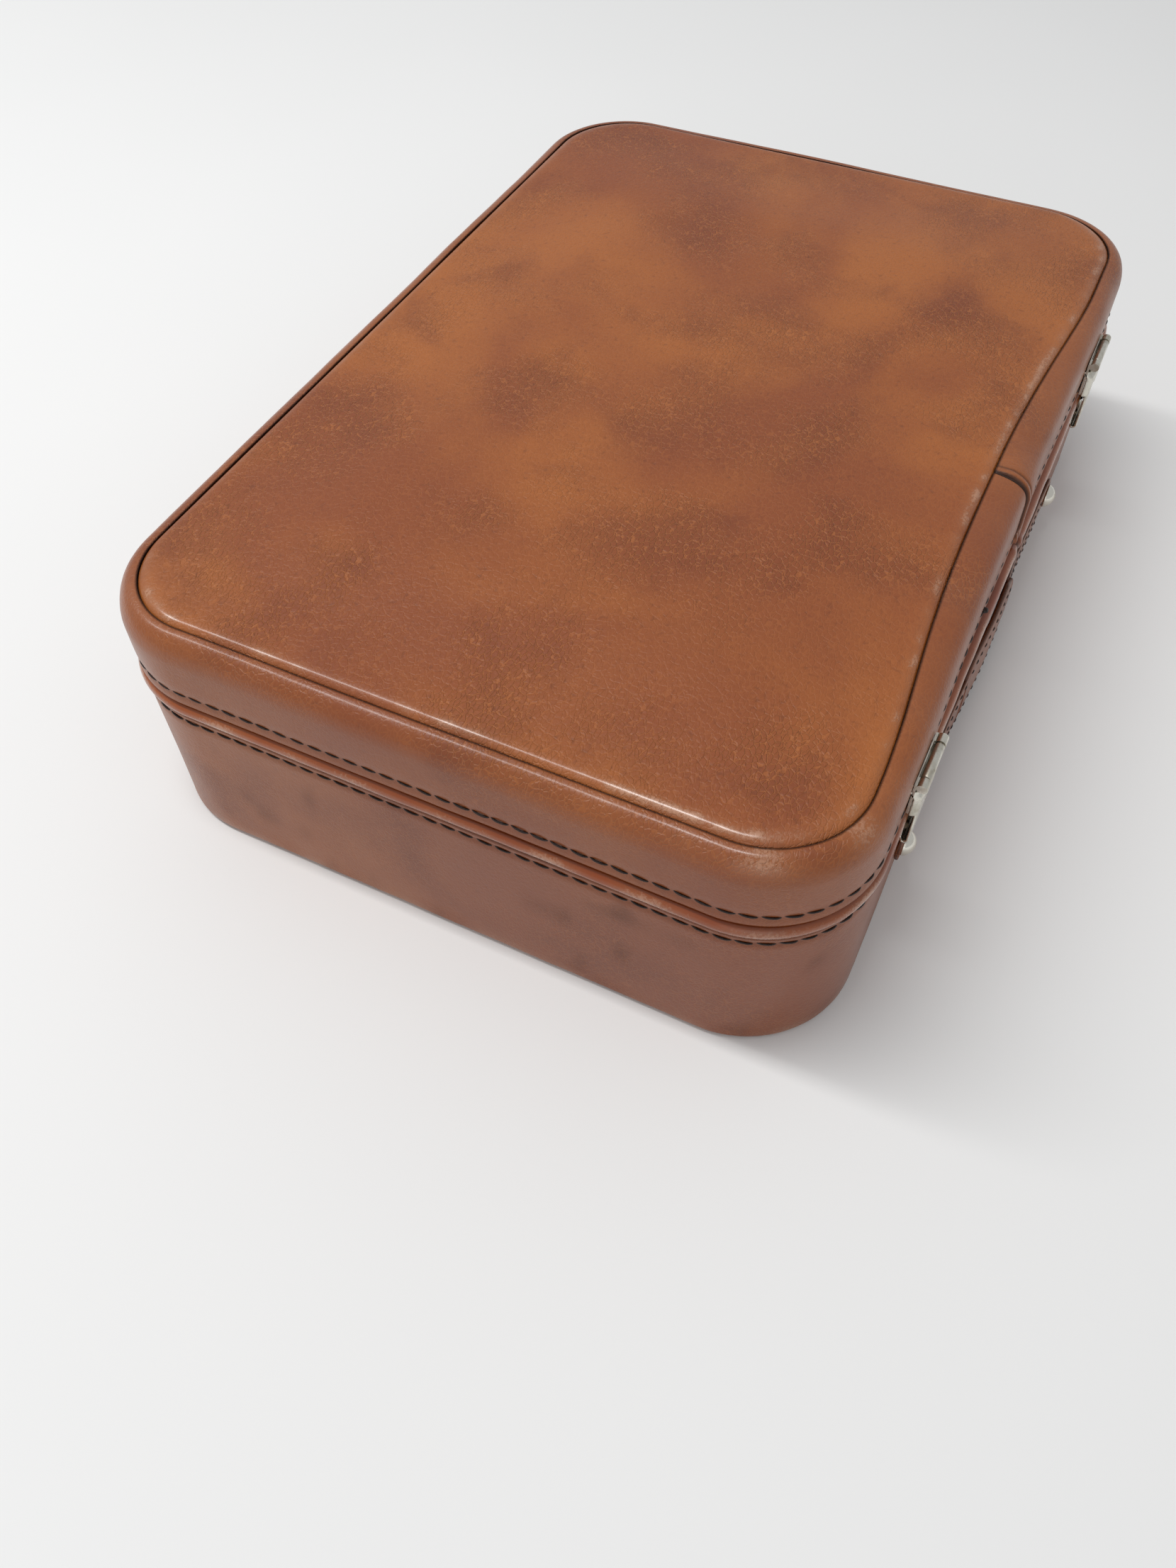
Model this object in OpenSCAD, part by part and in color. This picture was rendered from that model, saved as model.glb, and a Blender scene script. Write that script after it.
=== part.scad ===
// Watch winder box: a leather-covered carrying case with a hinged lid. Inside are two belt-driven
// winding rotors, four storage wells and a battery-powered control panel. Millimetres, +Z up,
// X along the long side, front towards -Y, origin at the centre of the underside.

/* [Case] */
// Length of the case along X, over the side leather
case_l = 373; // [370:1:390]
// Width of the case along Y, over the side leather
case_w = 260; // [258:1:275]
// Outer radius of the four upright corners
corner_r = 39; // [36:1:44]
// Thickness of the cover leather
leather_t = 1.5; // [1:0.1:2]
// Thickness of the stiff boards under the leather
board_t = 3.5; // [3:0.1:4]
// Thickness of the suede lining
lining_t = 1; // [0.8:0.1:1.2]
// Height of the leather band on the base, up to the welt
band_top = 63.25; // [62:0.25:64]
// Radius of the rolled welt round the top edge of the base
welt_r = 3; // [2.6:0.1:3.2]

/* [Lid] */
// Height of the lower edge of the lid
lid_bottom = 70; // [70:0.25:71]
// Height of the rolled rim of the lid
rim_z = 98; // [97:0.5:104]
// Radius of the rolled rim
rim_roll = 4; // [3:0.5:5]
// Distance from the side of the lid to the groove round the top panel
groove_in = 7.5; // [7:0.5:9]
// Height of the crown of the padded top panel above the rim
crown_rise = 4.5; // [3:0.5:6]
// Thickness of the soft pad inside the lid
lid_pad_t = 5; // [3:0.5:5]

/* [Latches and hinges] */
// Distance of each latch and each hinge from the middle of its side
fitting_x = 113; // [108:1:118]
// Width of a latch
latch_w = 22; // [20:1:24]
// Sideways offset of both latches from even spacing
latch_shift = -5; // [-6:1:0]
// Width of a hinge leaf
hinge_w = 30; // [28:1:34]
// Radius of a hinge knuckle
knuckle_r = 2.6; // [2.4:0.1:2.8]
// Radius of a hinge pin
hinge_pin_r = 1.3; // [1.2:0.1:1.5]

/* [Handle] */
// Distance of each dome stud from the middle of the front
stud_x = 100; // [96:1:102]
// Height of the dome studs
stud_z = 18.5; // [18:0.5:22]
// Radius of a dome stud
stud_r = 5.5; // [5:0.5:6]
// Height of the padded grip
grip_h = 30; // [26:1:32]
// Length of the padded grip
grip_l = 60; // [50:1:64]

/* [Interior] */
// Height of the top of the suede deck
deck_z = 56; // [55:0.5:57]
// Distance of each rotor from the middle, along X
rotor_x = 98; // [97:1:100]
// Distance of the rotors from the middle, along Y
rotor_y = 60; // [59:1:62]
// Outer radius of a rotor cup
cup_r = 48; // [46:1:48]
// Height of the underside of a rotor cup
cup_z = 22; // [22:0.5:24]
// Radius of a rotor's big pulley
big_pulley_r = 30; // [28:1:32]
// Radius of a motor's small pulley
small_pulley_r = 6; // [5:0.5:7]
// Length of a storage well along Y, inside
well_l = 86; // [84:1:88]
// Width of a storage well along X, inside
well_w = 66; // [62:1:68]
// Distance between neighbouring storage wells
well_pitch = 80; // [78:1:82]

/* [Hidden] */
$fn = 64;

// Colours
leather = "saddlebrown";
suede = "tan";
nickel = "lightgray";

// Case, worked out from the outside in
board_in = leather_t;
lining_in = leather_t + board_t;
space_in = lining_in + lining_t;
front_y = -case_w / 2;
back_y = case_w / 2;
base_top = band_top + 2 * welt_r;
floor_z = leather_t + board_t;
board_top = rim_z - leather_t - 0.5;
lid_under = board_top - board_t;
lid_inside = lid_under - lining_t;
pad_under = lid_inside - lid_pad_t;
crown_z = rim_z + crown_rise;

// Running clearance on a radius, and the gap left between loose neighbours
run = 0.05;
gap = 0.3;

// Latch
latch_pin_r = 0.8;
latch_pin_y = front_y - 2.4;
latch_pin_z = lid_bottom + 13.6;
latch_knuckle_r = 1.7;
hasp_out = 4;
hasp_low = lid_bottom + 0.3;
catch_low = 56.2;
catch_out = 3.3;
rivet_r = 1;
rivet_head_r = 1.9;
rivet_grip = 4;
plate_t = 0.8;

// Hinge
hinge_y = back_y + 3.4;
hinge_z = base_top + 0.25;
leaf_t = 1.2;
leaf_h = 20;
knuckle_l = hinge_w / 5;

// Handle
strap_t = 1.8;
strap_half = 8;
strap_inner = grip_l / 2 + 2;
strap_outer = stud_x - 7;

// Rotors and drive
cup_wall = 2;
cup_floor = 3;
cup_top = deck_z + 1;
spindle_r = 4;
cushion_l = 66;
cushion_w = 46;
cushion_top = 76;
pulley_z = 14;
pulley_h = 6;
flange_t = 1;
belt_t = 1.5;
belt_h = pulley_h - 2 * flange_t - 0.6;
ring_r = cup_r + 7;
motor_x = 24;
motor_y = 24;
motor_r = 12;
motor_low = 24;
motor_high = 50;
motor_shaft_r = 1.5;

// Deck and storage
deck_board_t = 3;
deck_low = deck_z - lining_t - deck_board_t;
deck_play = 0.2;
well_xs = [for (i = [-1.5 : 1 : 1.5]) i * well_pitch];

// Middle of each block that carries the deck, and the turn of the block
cleat_sites = concat(
    [for (x = [-158, -40, 40, 158] * case_l / 440, s = [-1, 1]) [x, s * (back_y - space_in - 5), 0]],
    [for (y = [-20, 60], s = [-1, 1]) [s * (case_l / 2 - space_in - 5), y - 15, 90]]
);
well_y = -68;
well_wall = 1;
well_low = 20;
well_lip = 2;
pillow_l = 78;
pillow_w = 56;
pillow_top = 66;

// Control panel and battery box
panel_w = 76;
panel_y0 = 38;
panel_y1 = 109;
panel_t = 3;
panel_top = deck_z + panel_t;
control_y = 54;
control_x = 17;
rocker_tip = 8;
rocker_z = panel_top - 1;
door_w = 63;
door_y0 = 74;
door_y1 = 104;
door_axis_y = 100.5;
door_axis_z = deck_z + 1.5;
door_pin_r = 1;
box_wall = 1.5;
box_low = 20;
cell_r = 7.1;
cell_l = 50;
cell_y = (door_y0 + door_y1) / 2;

// ---- shared shapes ----

// A rectangle with round corners, centred
module rounded(l, w, r) {
    square([l - 2 * r, w], center = true);
    square([l, w - 2 * r], center = true);
    for (x = [-1, 1], y = [-1, 1]) {
        translate([x * (l / 2 - r), y * (w / 2 - r)]) circle(r);
    }
}

// The case outline, moved inwards
module case_outline(inset) {
    rounded(case_l - 2 * inset, case_w - 2 * inset, corner_r - inset);
}

// A wall that follows the case outline
module case_wall(inset, t, z0, z1) {
    translate([0, 0, z0]) linear_extrude(z1 - z0) difference() {
        case_outline(inset);
        case_outline(inset + t);
    }
}

// A plate that fills the case outline
module case_plate(inset, z0, z1) {
    translate([0, 0, z0]) linear_extrude(z1 - z0) case_outline(inset);
}

// A profile carried round the case: x is outwards from the outline and y is height
module case_sweep() {
    side_l = case_l - 2 * corner_r;
    side_w = case_w - 2 * corner_r;
    for (i = [0:3]) {
        along_x = i % 2 == 1;
        sx = (i == 0 || i == 3) ? 1 : -1;
        sy = i < 2 ? 1 : -1;
        translate([sx * side_l / 2, sy * side_w / 2, 0]) rotate(90 * i) rotate_extrude(angle = 90)
            translate([corner_r, 0]) children();
        rotate(90 * i) translate([(along_x ? case_w : case_l) / 2, 0, 0]) rotate([90, 0, 0])
            linear_extrude(along_x ? side_l : side_w, center = true) children();
    }
}

// A block given by its low and high corners
module block(lo, hi) {
    translate(lo) cube(hi - lo);
}

// A rod along X
module rod_x(r, l, at) {
    translate(at) rotate([0, 90, 0]) cylinder(r = r, h = l, center = true);
}

// A soft block: round upright corners, and its top and bottom edges eased by a bevel
module soft_block(l, w, h, ease) {
    hull() {
        linear_extrude(h) rounded(l - 2 * ease, w - 2 * ease, ease, $fn = 32);
        translate([0, 0, ease]) linear_extrude(h - 2 * ease) rounded(l, w, 1.5 * ease, $fn = 32);
    }
}

// Places its children on a side wall, with +Z pointing out of the wall
module on_front(x, z) {
    translate([x, front_y, z]) rotate([90, 0, 0]) children();
}

module on_back(x, z) {
    translate([x, back_y, z]) rotate([-90, 0, 0]) children();
}

// ---- rivets and studs, and the holes that they pass through ----

module at_lid_rivets() {
    for (side = [-1, 1], dx = [-6, 6]) {
        on_front(side * fitting_x + latch_shift + dx, lid_bottom + 7) children(0);
        on_back(side * fitting_x + 1.5 * dx, hinge_z + 13) children(1);
    }
}

module at_base_rivets() {
    for (side = [-1, 1], dx = [-6, 6]) {
        on_front(side * fitting_x + latch_shift + dx, catch_low + 3.6) children(0);
        on_back(side * fitting_x + 1.5 * dx, hinge_z - 13) children(1);
    }
}

module rivet(plate) {
    translate([0, 0, -rivet_grip]) cylinder(r = rivet_r, h = rivet_grip + plate + 0.1);
    translate([0, 0, plate]) cylinder(r1 = rivet_head_r, r2 = rivet_head_r - 0.7, h = plate_t);
}

module rivet_hole() {
    translate([0, 0, -rivet_grip]) cylinder(r = rivet_r, h = rivet_grip + 3);
}

module stud_hole() {
    translate([0, 0, -floor_z - 1]) cylinder(r = 2, h = floor_z + 5);
}

module base_fixing_holes() {
    at_base_rivets() {
        rivet_hole();
        rivet_hole();
    }
    for (side = [-1, 1]) {
        on_front(side * stud_x, stud_z) stud_hole();
    }
}

module lid_fixing_holes() {
    at_lid_rivets() {
        rivet_hole();
        rivet_hole();
    }
}

// ---- base of the case ----

module base_board() color("burlywood") difference() {
    union() {
        case_plate(board_in, leather_t, floor_z);
        case_wall(board_in, board_t, floor_z, base_top);
    }
    base_fixing_holes();
}

module base_bottom() color(leather) case_plate(leather_t, 0, leather_t);

module base_band() color(leather) difference() {
    case_wall(0, leather_t, 0, band_top);
    base_fixing_holes();
}

module base_welt() color("chocolate") difference() {
    case_sweep() intersection() {
        translate([-leather_t - 0.4, band_top + welt_r]) circle(welt_r);
        translate([-leather_t, band_top]) square([2 * welt_r, 2 * welt_r]);
    }
    for (side = [-1, 1]) {
        block([side * fitting_x - hinge_w / 2 - gap, back_y - leather_t, band_top - 1],
              [side * fitting_x + hinge_w / 2 + gap, back_y + welt_r, base_top + 1]);
    }
}

module base_lining() color(suede) difference() {
    case_wall(lining_in, lining_t, floor_z, base_top);
    for (side = [-1, 1]) {
        on_front(side * stud_x, stud_z) stud_hole();
    }
}

// ---- lid ----

module lid_board() color("burlywood") difference() {
    union() {
        case_plate(board_in, lid_under, board_top);
        case_wall(board_in, board_t, lid_bottom, lid_under);
    }
    lid_fixing_holes();
}

module lid_band() color(leather) difference() {
    case_sweep() difference() {
        union() {
            translate([-groove_in, lid_bottom]) square([groove_in - rim_roll, rim_z - lid_bottom]);
            translate([-rim_roll, lid_bottom]) square([rim_roll, rim_z - rim_roll - lid_bottom]);
            translate([-rim_roll, rim_z - rim_roll]) circle(rim_roll);
        }
        translate([-groove_in - 1, lid_bottom - 1])
            square([groove_in + 1 - leather_t, board_top - lid_bottom + 1]);
    }
    lid_fixing_holes();
}

module lid_top_panel() color(leather) hull() {
    case_plate(groove_in + gap, board_top, board_top + 1, $fn = 32);
    case_plate(groove_in + 2.5, board_top, rim_z + crown_rise * 0.45, $fn = 32);
    case_plate(groove_in + 14, board_top, crown_z - 0.6, $fn = 32);
    case_plate(groove_in + 26, board_top, crown_z, $fn = 32);
}

module lid_lining() color(suede) {
    case_plate(lining_in, lid_inside, lid_under);
    case_wall(lining_in, lining_t, lid_bottom, lid_inside);
}

module lid_pad() color(suede) hull() {
    case_plate(space_in + 12, lid_inside - 1, lid_inside, $fn = 32);
    case_plate(space_in + 15, pad_under, lid_inside, $fn = 32);
}

// ---- latches ----

module latch_plate() {
    half = latch_w / 2;
    ear_in = half - 3.5;
    difference() {
        union() {
            block([-half, front_y - plate_t, lid_bottom + 1], [half, front_y, latch_pin_z + 1]);
            for (side = [-1, 1]) {
                rod_x(latch_knuckle_r, 3.5, [side * (half - 1.75), latch_pin_y, latch_pin_z]);
            }
        }
        rod_x(latch_pin_r, latch_w + 1, [0, latch_pin_y, latch_pin_z]);
        block([-ear_in, front_y - 5, latch_pin_z - 2.2], [ear_in, front_y - 0.4, latch_pin_z + 2.2]);
        translate([-fitting_x - latch_shift, 0, 0]) lid_fixing_holes();
    }
}

module latch_plates() color(nickel) {
    for (side = [-1, 1]) {
        translate([side * fitting_x + latch_shift, 0, 0]) latch_plate();
    }
}

// The stamped cover that swings up: two cheeks, a face with a raised middle, and a knuckle
module latch_hasp() {
    half = latch_w / 2;
    face_y = front_y - hasp_out;
    face_top = latch_pin_z - 2.1;
    knuckle_half = half - 3.8;
    difference() {
        union() {
            block([-half, face_y, hasp_low], [half, face_y + 0.9, face_top]);
            for (side = [-1, 1]) {
                translate([side * (half - 0.4), 0, 0])
                    block([-0.4, face_y, hasp_low], [0.4, front_y - 1.1, face_top]);
            }
            block([-knuckle_half, face_y, face_top - 1], [knuckle_half, face_y + 1.6, latch_pin_z]);
            rod_x(latch_knuckle_r, 2 * knuckle_half, [0, latch_pin_y, latch_pin_z]);
            translate([0, face_y, (hasp_low + face_top) / 2]) rotate([90, 0, 0])
                linear_extrude(0.6) rounded(11, 8, 2);
        }
        rod_x(latch_pin_r + run, latch_w, [0, latch_pin_y, latch_pin_z]);
    }
}

module latch_hasp_left() color(nickel) translate([latch_shift - fitting_x, 0, 0]) latch_hasp();
module latch_hasp_right() color(nickel) translate([latch_shift + fitting_x, 0, 0]) latch_hasp();

module latch_pins() color(nickel) {
    for (side = [-1, 1]) {
        rod_x(latch_pin_r, latch_w, [side * fitting_x + latch_shift, latch_pin_y, latch_pin_z]);
    }
}

// A hook that stands on the base, open upwards, with a round curl at its foot
module latch_catches() color(nickel) {
    half = latch_w / 2 - 1.5;
    curl_r = catch_out / 2;
    for (side = [-1, 1]) {
        difference() {
            translate([side * fitting_x + latch_shift, 0, 0]) {
                block([-half, front_y - plate_t, catch_low], [half, front_y, catch_low + 7]);
                block([-half, front_y - catch_out, catch_low],
                      [half, front_y - catch_out + plate_t, hasp_low - 1.6]);
                difference() {
                    rod_x(curl_r, 2 * half, [0, front_y - curl_r, catch_low]);
                    rod_x(curl_r - plate_t, 2 * half + 1, [0, front_y - curl_r, catch_low]);
                    block([-half - 1, front_y - catch_out, catch_low], [half + 1, front_y, catch_low + 3]);
                }
            }
            base_fixing_holes();
        }
    }
}

// ---- hinges ----

module hinge_knuckles(first, r) {
    for (side = [-1, 1], i = [first : 2 : 4]) {
        x = side * fitting_x + (i - 2) * knuckle_l;
        rod_x(r, knuckle_l - 0.3, [x, hinge_y, hinge_z]);
    }
}

module hinge_webs(first, z0, z1) {
    for (side = [-1, 1], i = [first : 2 : 4]) {
        x = side * fitting_x + (i - 2) * knuckle_l;
        half = knuckle_l / 2 - 0.15;
        block([x - half, back_y, z0], [x + half, back_y + leaf_t, z1]);
    }
}

module hinge_base_leaves() color(nickel) difference() {
    union() {
        for (side = [-1, 1]) {
            translate([side * fitting_x, 0, 0])
                translate([0, back_y + leaf_t / 2, hinge_z - (leaf_h + 3) / 2])
                    cube([hinge_w, leaf_t, leaf_h - 3], center = true);
        }
        hinge_webs(0, hinge_z - 3, hinge_z);
        hinge_knuckles(0, knuckle_r);
    }
    hinge_knuckle_bores(hinge_pin_r);
    base_fixing_holes();
}

module hinge_lid_leaves() color(nickel) difference() {
    union() {
        for (side = [-1, 1]) {
            translate([side * fitting_x, 0, 0])
                translate([0, back_y + leaf_t / 2, hinge_z + (leaf_h + 3) / 2])
                    cube([hinge_w, leaf_t, leaf_h - 3], center = true);
        }
        hinge_webs(1, hinge_z, hinge_z + 3);
        hinge_knuckles(1, knuckle_r);
    }
    hinge_knuckle_bores(hinge_pin_r + run);
    lid_fixing_holes();
}

module hinge_knuckle_bores(r) {
    for (side = [-1, 1]) {
        rod_x(r, hinge_w + 2, [side * fitting_x, hinge_y, hinge_z]);
    }
}

module hinge_pins() color(nickel) {
    for (side = [-1, 1]) {
        rod_x(hinge_pin_r, hinge_w, [side * fitting_x, hinge_y, hinge_z]);
    }
}

module base_rivets() color(nickel) at_base_rivets() {
    rivet(plate_t);
    rivet(leaf_t);
}

module lid_rivets() color(nickel) at_lid_rivets() {
    rivet(plate_t);
    rivet(leaf_t);
}

// ---- handle ----

module handle_grip() color(leather)
    translate([0, front_y - 2.4, stud_z]) rotate([90, 0, 0])
        linear_extrude(4, center = true) rounded(grip_l, grip_h, 10);

// The free stretch of the strap, wider towards the grip
module handle_strap(side) {
    wide = grip_h / 2 - 3;
    translate([0, front_y - gap, stud_z]) rotate([90, 0, 0]) linear_extrude(strap_t) polygon([
        [side * strap_inner, -wide], [side * strap_inner, wide],
        [side * strap_outer, strap_half], [side * strap_outer, -strap_half]
    ]);
}

module handle_strap_left() color(leather) handle_strap(-1);
module handle_strap_right() color(leather) handle_strap(1);

// The end of the strap, held under its stud
module handle_end(side) difference() {
    on_front(0, stud_z) linear_extrude(strap_t + gap) {
        translate([side * (strap_outer + 0.5 + stud_x) / 2, 0])
            square([stud_x - strap_outer - 0.5, 2 * strap_half], center = true);
        translate([side * stud_x, 0]) intersection() {
            circle(strap_half);
            translate([side * strap_half, 0]) square(2 * strap_half, center = true);
        }
    }
    on_front(side * stud_x, stud_z) stud_hole();
}

module handle_end_left() color(leather) handle_end(-1);
module handle_end_right() color(leather) handle_end(1);

module handle_studs() color(nickel) {
    for (side = [-1, 1]) {
        on_front(side * stud_x, stud_z) {
            translate([0, 0, -floor_z - 1]) cylinder(r = 2, h = floor_z + 1 + strap_t + gap);
            intersection() {
                sphere(stud_r);
                translate([0, 0, strap_t + gap]) cylinder(r = stud_r, h = stud_r);
            }
        }
    }
}

// ---- deck and storage wells ----

module deck_outline() difference() {
    case_outline(space_in + deck_play);
    for (side = [-1, 1]) {
        translate([side * rotor_x, rotor_y]) circle(cup_r + 1);
    }
    for (x = well_xs) {
        translate([x, well_y])
            square([well_w + 2 * well_wall + 0.2, well_l + 2 * well_wall + 0.2], center = true);
    }
    translate([-door_w / 2 - box_wall - 0.5, control_y - 11])
        square([door_w + 2 * box_wall + 1, door_y1 + box_wall + 0.5 - control_y + 11]);
    at_deck_screws() circle(1.5);
    at_panel_screws() circle(1.2);
}

module at_deck_screws() {
    for (site = cleat_sites) {
        translate([site[0], site[1]]) children();
    }
}

module at_panel_screws() {
    for (x = [-1, 1], y = [panel_y0 + 4, door_y1 - 12]) {
        translate([x * (panel_w / 2 - 2.5), y]) children();
    }
}

module deck_board() color("burlywood")
    translate([0, 0, deck_low]) linear_extrude(deck_board_t) deck_outline();

module deck_cover() color(suede)
    translate([0, 0, deck_z - lining_t]) linear_extrude(lining_t) deck_outline();

module deck_cleats() color("burlywood") for (site = cleat_sites) {
    difference() {
        translate([site[0], site[1], (floor_z + deck_low) / 2]) rotate(site[2])
            cube([22, 9.6, deck_low - floor_z], center = true);
        translate([site[0], site[1], deck_low - 8]) cylinder(r = 1.5, h = 9);
    }
}

module deck_screws() color(nickel) {
    at_deck_screws() {
        translate([0, 0, deck_low - 8]) cylinder(r = 1.5, h = deck_z - deck_low + 8);
        translate([0, 0, deck_z]) cylinder(r1 = 3, r2 = 2, h = 1.4);
    }
    at_panel_screws() {
        translate([0, 0, deck_low]) cylinder(r = 1.2, h = panel_top - deck_low);
        translate([0, 0, panel_top]) cylinder(r1 = 2.3, r2 = 1.6, h = 1.1);
    }
}

module storage_wells() color(suede) for (x = well_xs) {
    translate([x, well_y, 0]) difference() {
        union() {
            translate([0, 0, (well_low + deck_z) / 2])
                cube([well_w + 2 * well_wall, well_l + 2 * well_wall, deck_z - well_low], center = true);
            translate([0, 0, deck_z]) linear_extrude(1)
                rounded(well_w + 2 * (well_wall + well_lip), well_l + 2 * (well_wall + well_lip), 3);
        }
        translate([0, 0, well_low + well_wall + 20])
            cube([well_w, well_l, 40], center = true);
    }
}

module watch_pillow(i) color(suede) translate([well_xs[i], well_y, well_low + well_wall + gap])
    soft_block(pillow_w, pillow_l, pillow_top - well_low - well_wall - gap, 6);

module watch_pillow_1() watch_pillow(0);
module watch_pillow_2() watch_pillow(1);
module watch_pillow_3() watch_pillow(2);
module watch_pillow_4() watch_pillow(3);

// ---- rotors and their drive ----

module at_rotor(side) {
    translate([side * rotor_x, rotor_y, 0]) children();
}

module rotor_cup(side) color(suede) at_rotor(side) difference() {
    translate([0, 0, cup_z]) cylinder(r = cup_r, h = cup_top - cup_z);
    translate([0, 0, cup_z + cup_floor]) cylinder(r = cup_r - cup_wall, h = cup_top);
    translate([0, 0, cup_z - 1]) cylinder(r = spindle_r, h = 9);
}

module rotor_cup_left() rotor_cup(-1);
module rotor_cup_right() rotor_cup(1);

// A grooved wheel: two flanges with a belt seat between them
module pulley(r, bore) rotate_extrude() difference() {
    translate([bore, 0]) square([r - bore, pulley_h]);
    translate([r - belt_t, flange_t]) square([belt_t + 1, pulley_h - 2 * flange_t]);
}

module rotor_pulley(side) color("dimgray") at_rotor(side) {
    translate([0, 0, pulley_z]) pulley(big_pulley_r, 0);
    translate([0, 0, floor_z + 1]) cylinder(r = spindle_r, h = cup_z + cup_floor - floor_z - 1);
}

module rotor_pulley_left() rotor_pulley(-1);
module rotor_pulley_right() rotor_pulley(1);

module watch_cushion(side) color(suede) at_rotor(side)
    translate([0, 0, cup_z + cup_floor + gap])
        soft_block(cushion_l, cushion_w, cushion_top - cup_z - cup_floor - gap, 6);

module watch_cushion_left() watch_cushion(-1);
module watch_cushion_right() watch_cushion(1);

module rotor_bearings() color("peru") for (side = [-1, 1]) {
    at_rotor(side) difference() {
        union() {
            translate([0, 0, floor_z]) cylinder(r = 16, h = 2.5);
            translate([0, 0, floor_z]) cylinder(r = 9, h = pulley_z - floor_z - 0.4);
        }
        translate([0, 0, floor_z + 0.8]) cylinder(r = spindle_r + run, h = 20);
    }
}

module rotor_rings() color(nickel) for (side = [-1, 1]) {
    at_rotor(side) translate([0, 0, deck_z]) rotate_extrude() {
        translate([cup_r + 0.6, 0]) square([ring_r - cup_r - 0.6, 1.4]);
        translate([(cup_r + 0.6 + ring_r) / 2, 1.2]) intersection() {
            circle(2.2);
            translate([-3, 0]) square([6, 3]);
        }
    }
}

function motor_at(side) = [side * motor_x, motor_y, 0];

module belt_outline(side, grow) hull() {
    translate([side * rotor_x, rotor_y]) circle(big_pulley_r - belt_t + grow);
    translate(motor_at(side)) circle(small_pulley_r - belt_t + grow);
}

module drive_belts() color("black") for (side = [-1, 1]) {
    translate([0, 0, pulley_z + flange_t + 0.3]) linear_extrude(belt_h) difference() {
        belt_outline(side, belt_t);
        belt_outline(side, 0.1);
    }
}

module gear_motors() color("silver") for (side = [-1, 1]) {
    translate(motor_at(side)) difference() {
        union() {
            translate([0, 0, motor_low + 2]) cylinder(r = motor_r, h = motor_high - motor_low - 2);
            translate([0, 0, motor_low]) cylinder(r = 4, h = 3);
        }
        translate([0, 0, motor_low - 1]) cylinder(r = motor_shaft_r + run, h = 11);
    }
}

module motor_brackets() color("gray") for (side = [-1, 1]) {
    translate(motor_at(side)) difference() {
        union() {
            translate([0, 0, motor_low + 8]) cylinder(r = motor_r + 1.5, h = deck_low - motor_low - 8);
            translate([0, 0, deck_low - 1]) cube([44, 12, 2], center = true);
        }
        translate([0, 0, motor_low]) cylinder(r = motor_r, h = motor_high - motor_low);
    }
}

module motor_pulley(side) color("dimgray") translate(motor_at(side)) {
    translate([0, 0, pulley_z]) pulley(small_pulley_r, 0);
    translate([0, 0, pulley_z]) cylinder(r = motor_shaft_r, h = motor_low + 9 - pulley_z);
}

module motor_pulley_left() motor_pulley(-1);
module motor_pulley_right() motor_pulley(1);

// ---- control panel ----

module control_panel() color("black") difference() {
    translate([0, (panel_y0 + panel_y1) / 2, deck_z]) linear_extrude(panel_t)
        rounded(panel_w, panel_y1 - panel_y0, 5);
    block([-door_w / 2, door_y0, deck_z - 1], [door_w / 2, door_y1, panel_top + 1]);
    rod_x(door_pin_r + run, door_w + 6, [0, door_axis_y, door_axis_z]);
    block([-control_x - 6.5, control_y - 9.5, deck_z - 1],
          [-control_x + 6.5, control_y + 9.5, panel_top + 1]);
    translate([control_x, control_y, deck_z - 1]) cylinder(r = 3.5, h = panel_t + 2);
    translate([0, control_y, deck_z - 1]) cylinder(r = 2.5, h = panel_t + 2);
    translate([0, 0, deck_z - 1]) linear_extrude(panel_t + 2) at_panel_screws() circle(1.2);
}

// The rocker stands tipped to its off side; its pin runs in the switch body
module power_switch() color("crimson")
    translate([-control_x, control_y, rocker_z]) rotate([rocker_tip, 0, 0]) {
        translate([0, 0, 0.4]) cube([10, 15, 3], center = true);
        rod_x(1, 10.8, [0, 0, 0]);
    }

module mode_knob() color("dimgray") translate([control_x, control_y, 0]) {
    translate([0, 0, panel_top + 0.4]) difference() {
        cylinder(r = 9, h = 8);
        for (a = [15 : 30 : 345]) {
            rotate(a) translate([9.8, 0, -1]) cylinder(r = 1.4, h = 10);
        }
        translate([-0.6, 3, 7.4]) cube([1.2, 7, 2]);
    }
    translate([0, 0, deck_z - 8]) cylinder(r = 3, h = 12);
}

module switch_bodies() color("black") {
    difference() {
        block([-control_x - 6.5, control_y - 9.5, 38], [-control_x + 6.5, control_y + 9.5, panel_top]);
        translate([-control_x, control_y, panel_top - 2]) cube([10.6, 16, 6], center = true);
        rod_x(1 + run, 11.6, [-control_x, control_y, rocker_z]);
    }
    difference() {
        translate([control_x, control_y, 42]) cylinder(r = 8, h = deck_z - 42);
        translate([control_x, control_y, deck_z - 8.5]) cylinder(r = 3 + run, h = 10);
    }
}

module indicator_lamp() color("limegreen") translate([0, control_y, 0]) {
    translate([0, 0, deck_z - 6]) cylinder(r = 2.5, h = panel_t + 6);
    translate([0, 0, panel_top]) intersection() {
        translate([0, 0, -1]) sphere(2.7);
        cylinder(r = 4, h = 4);
    }
}

module battery_box() color("black") difference() {
    block([-door_w / 2 - box_wall, door_y0 - box_wall, box_low],
          [door_w / 2 + box_wall, door_y1 + box_wall, deck_z]);
    block([-door_w / 2, door_y0, box_low + box_wall], [door_w / 2, door_y1, deck_z + 1]);
}

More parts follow.
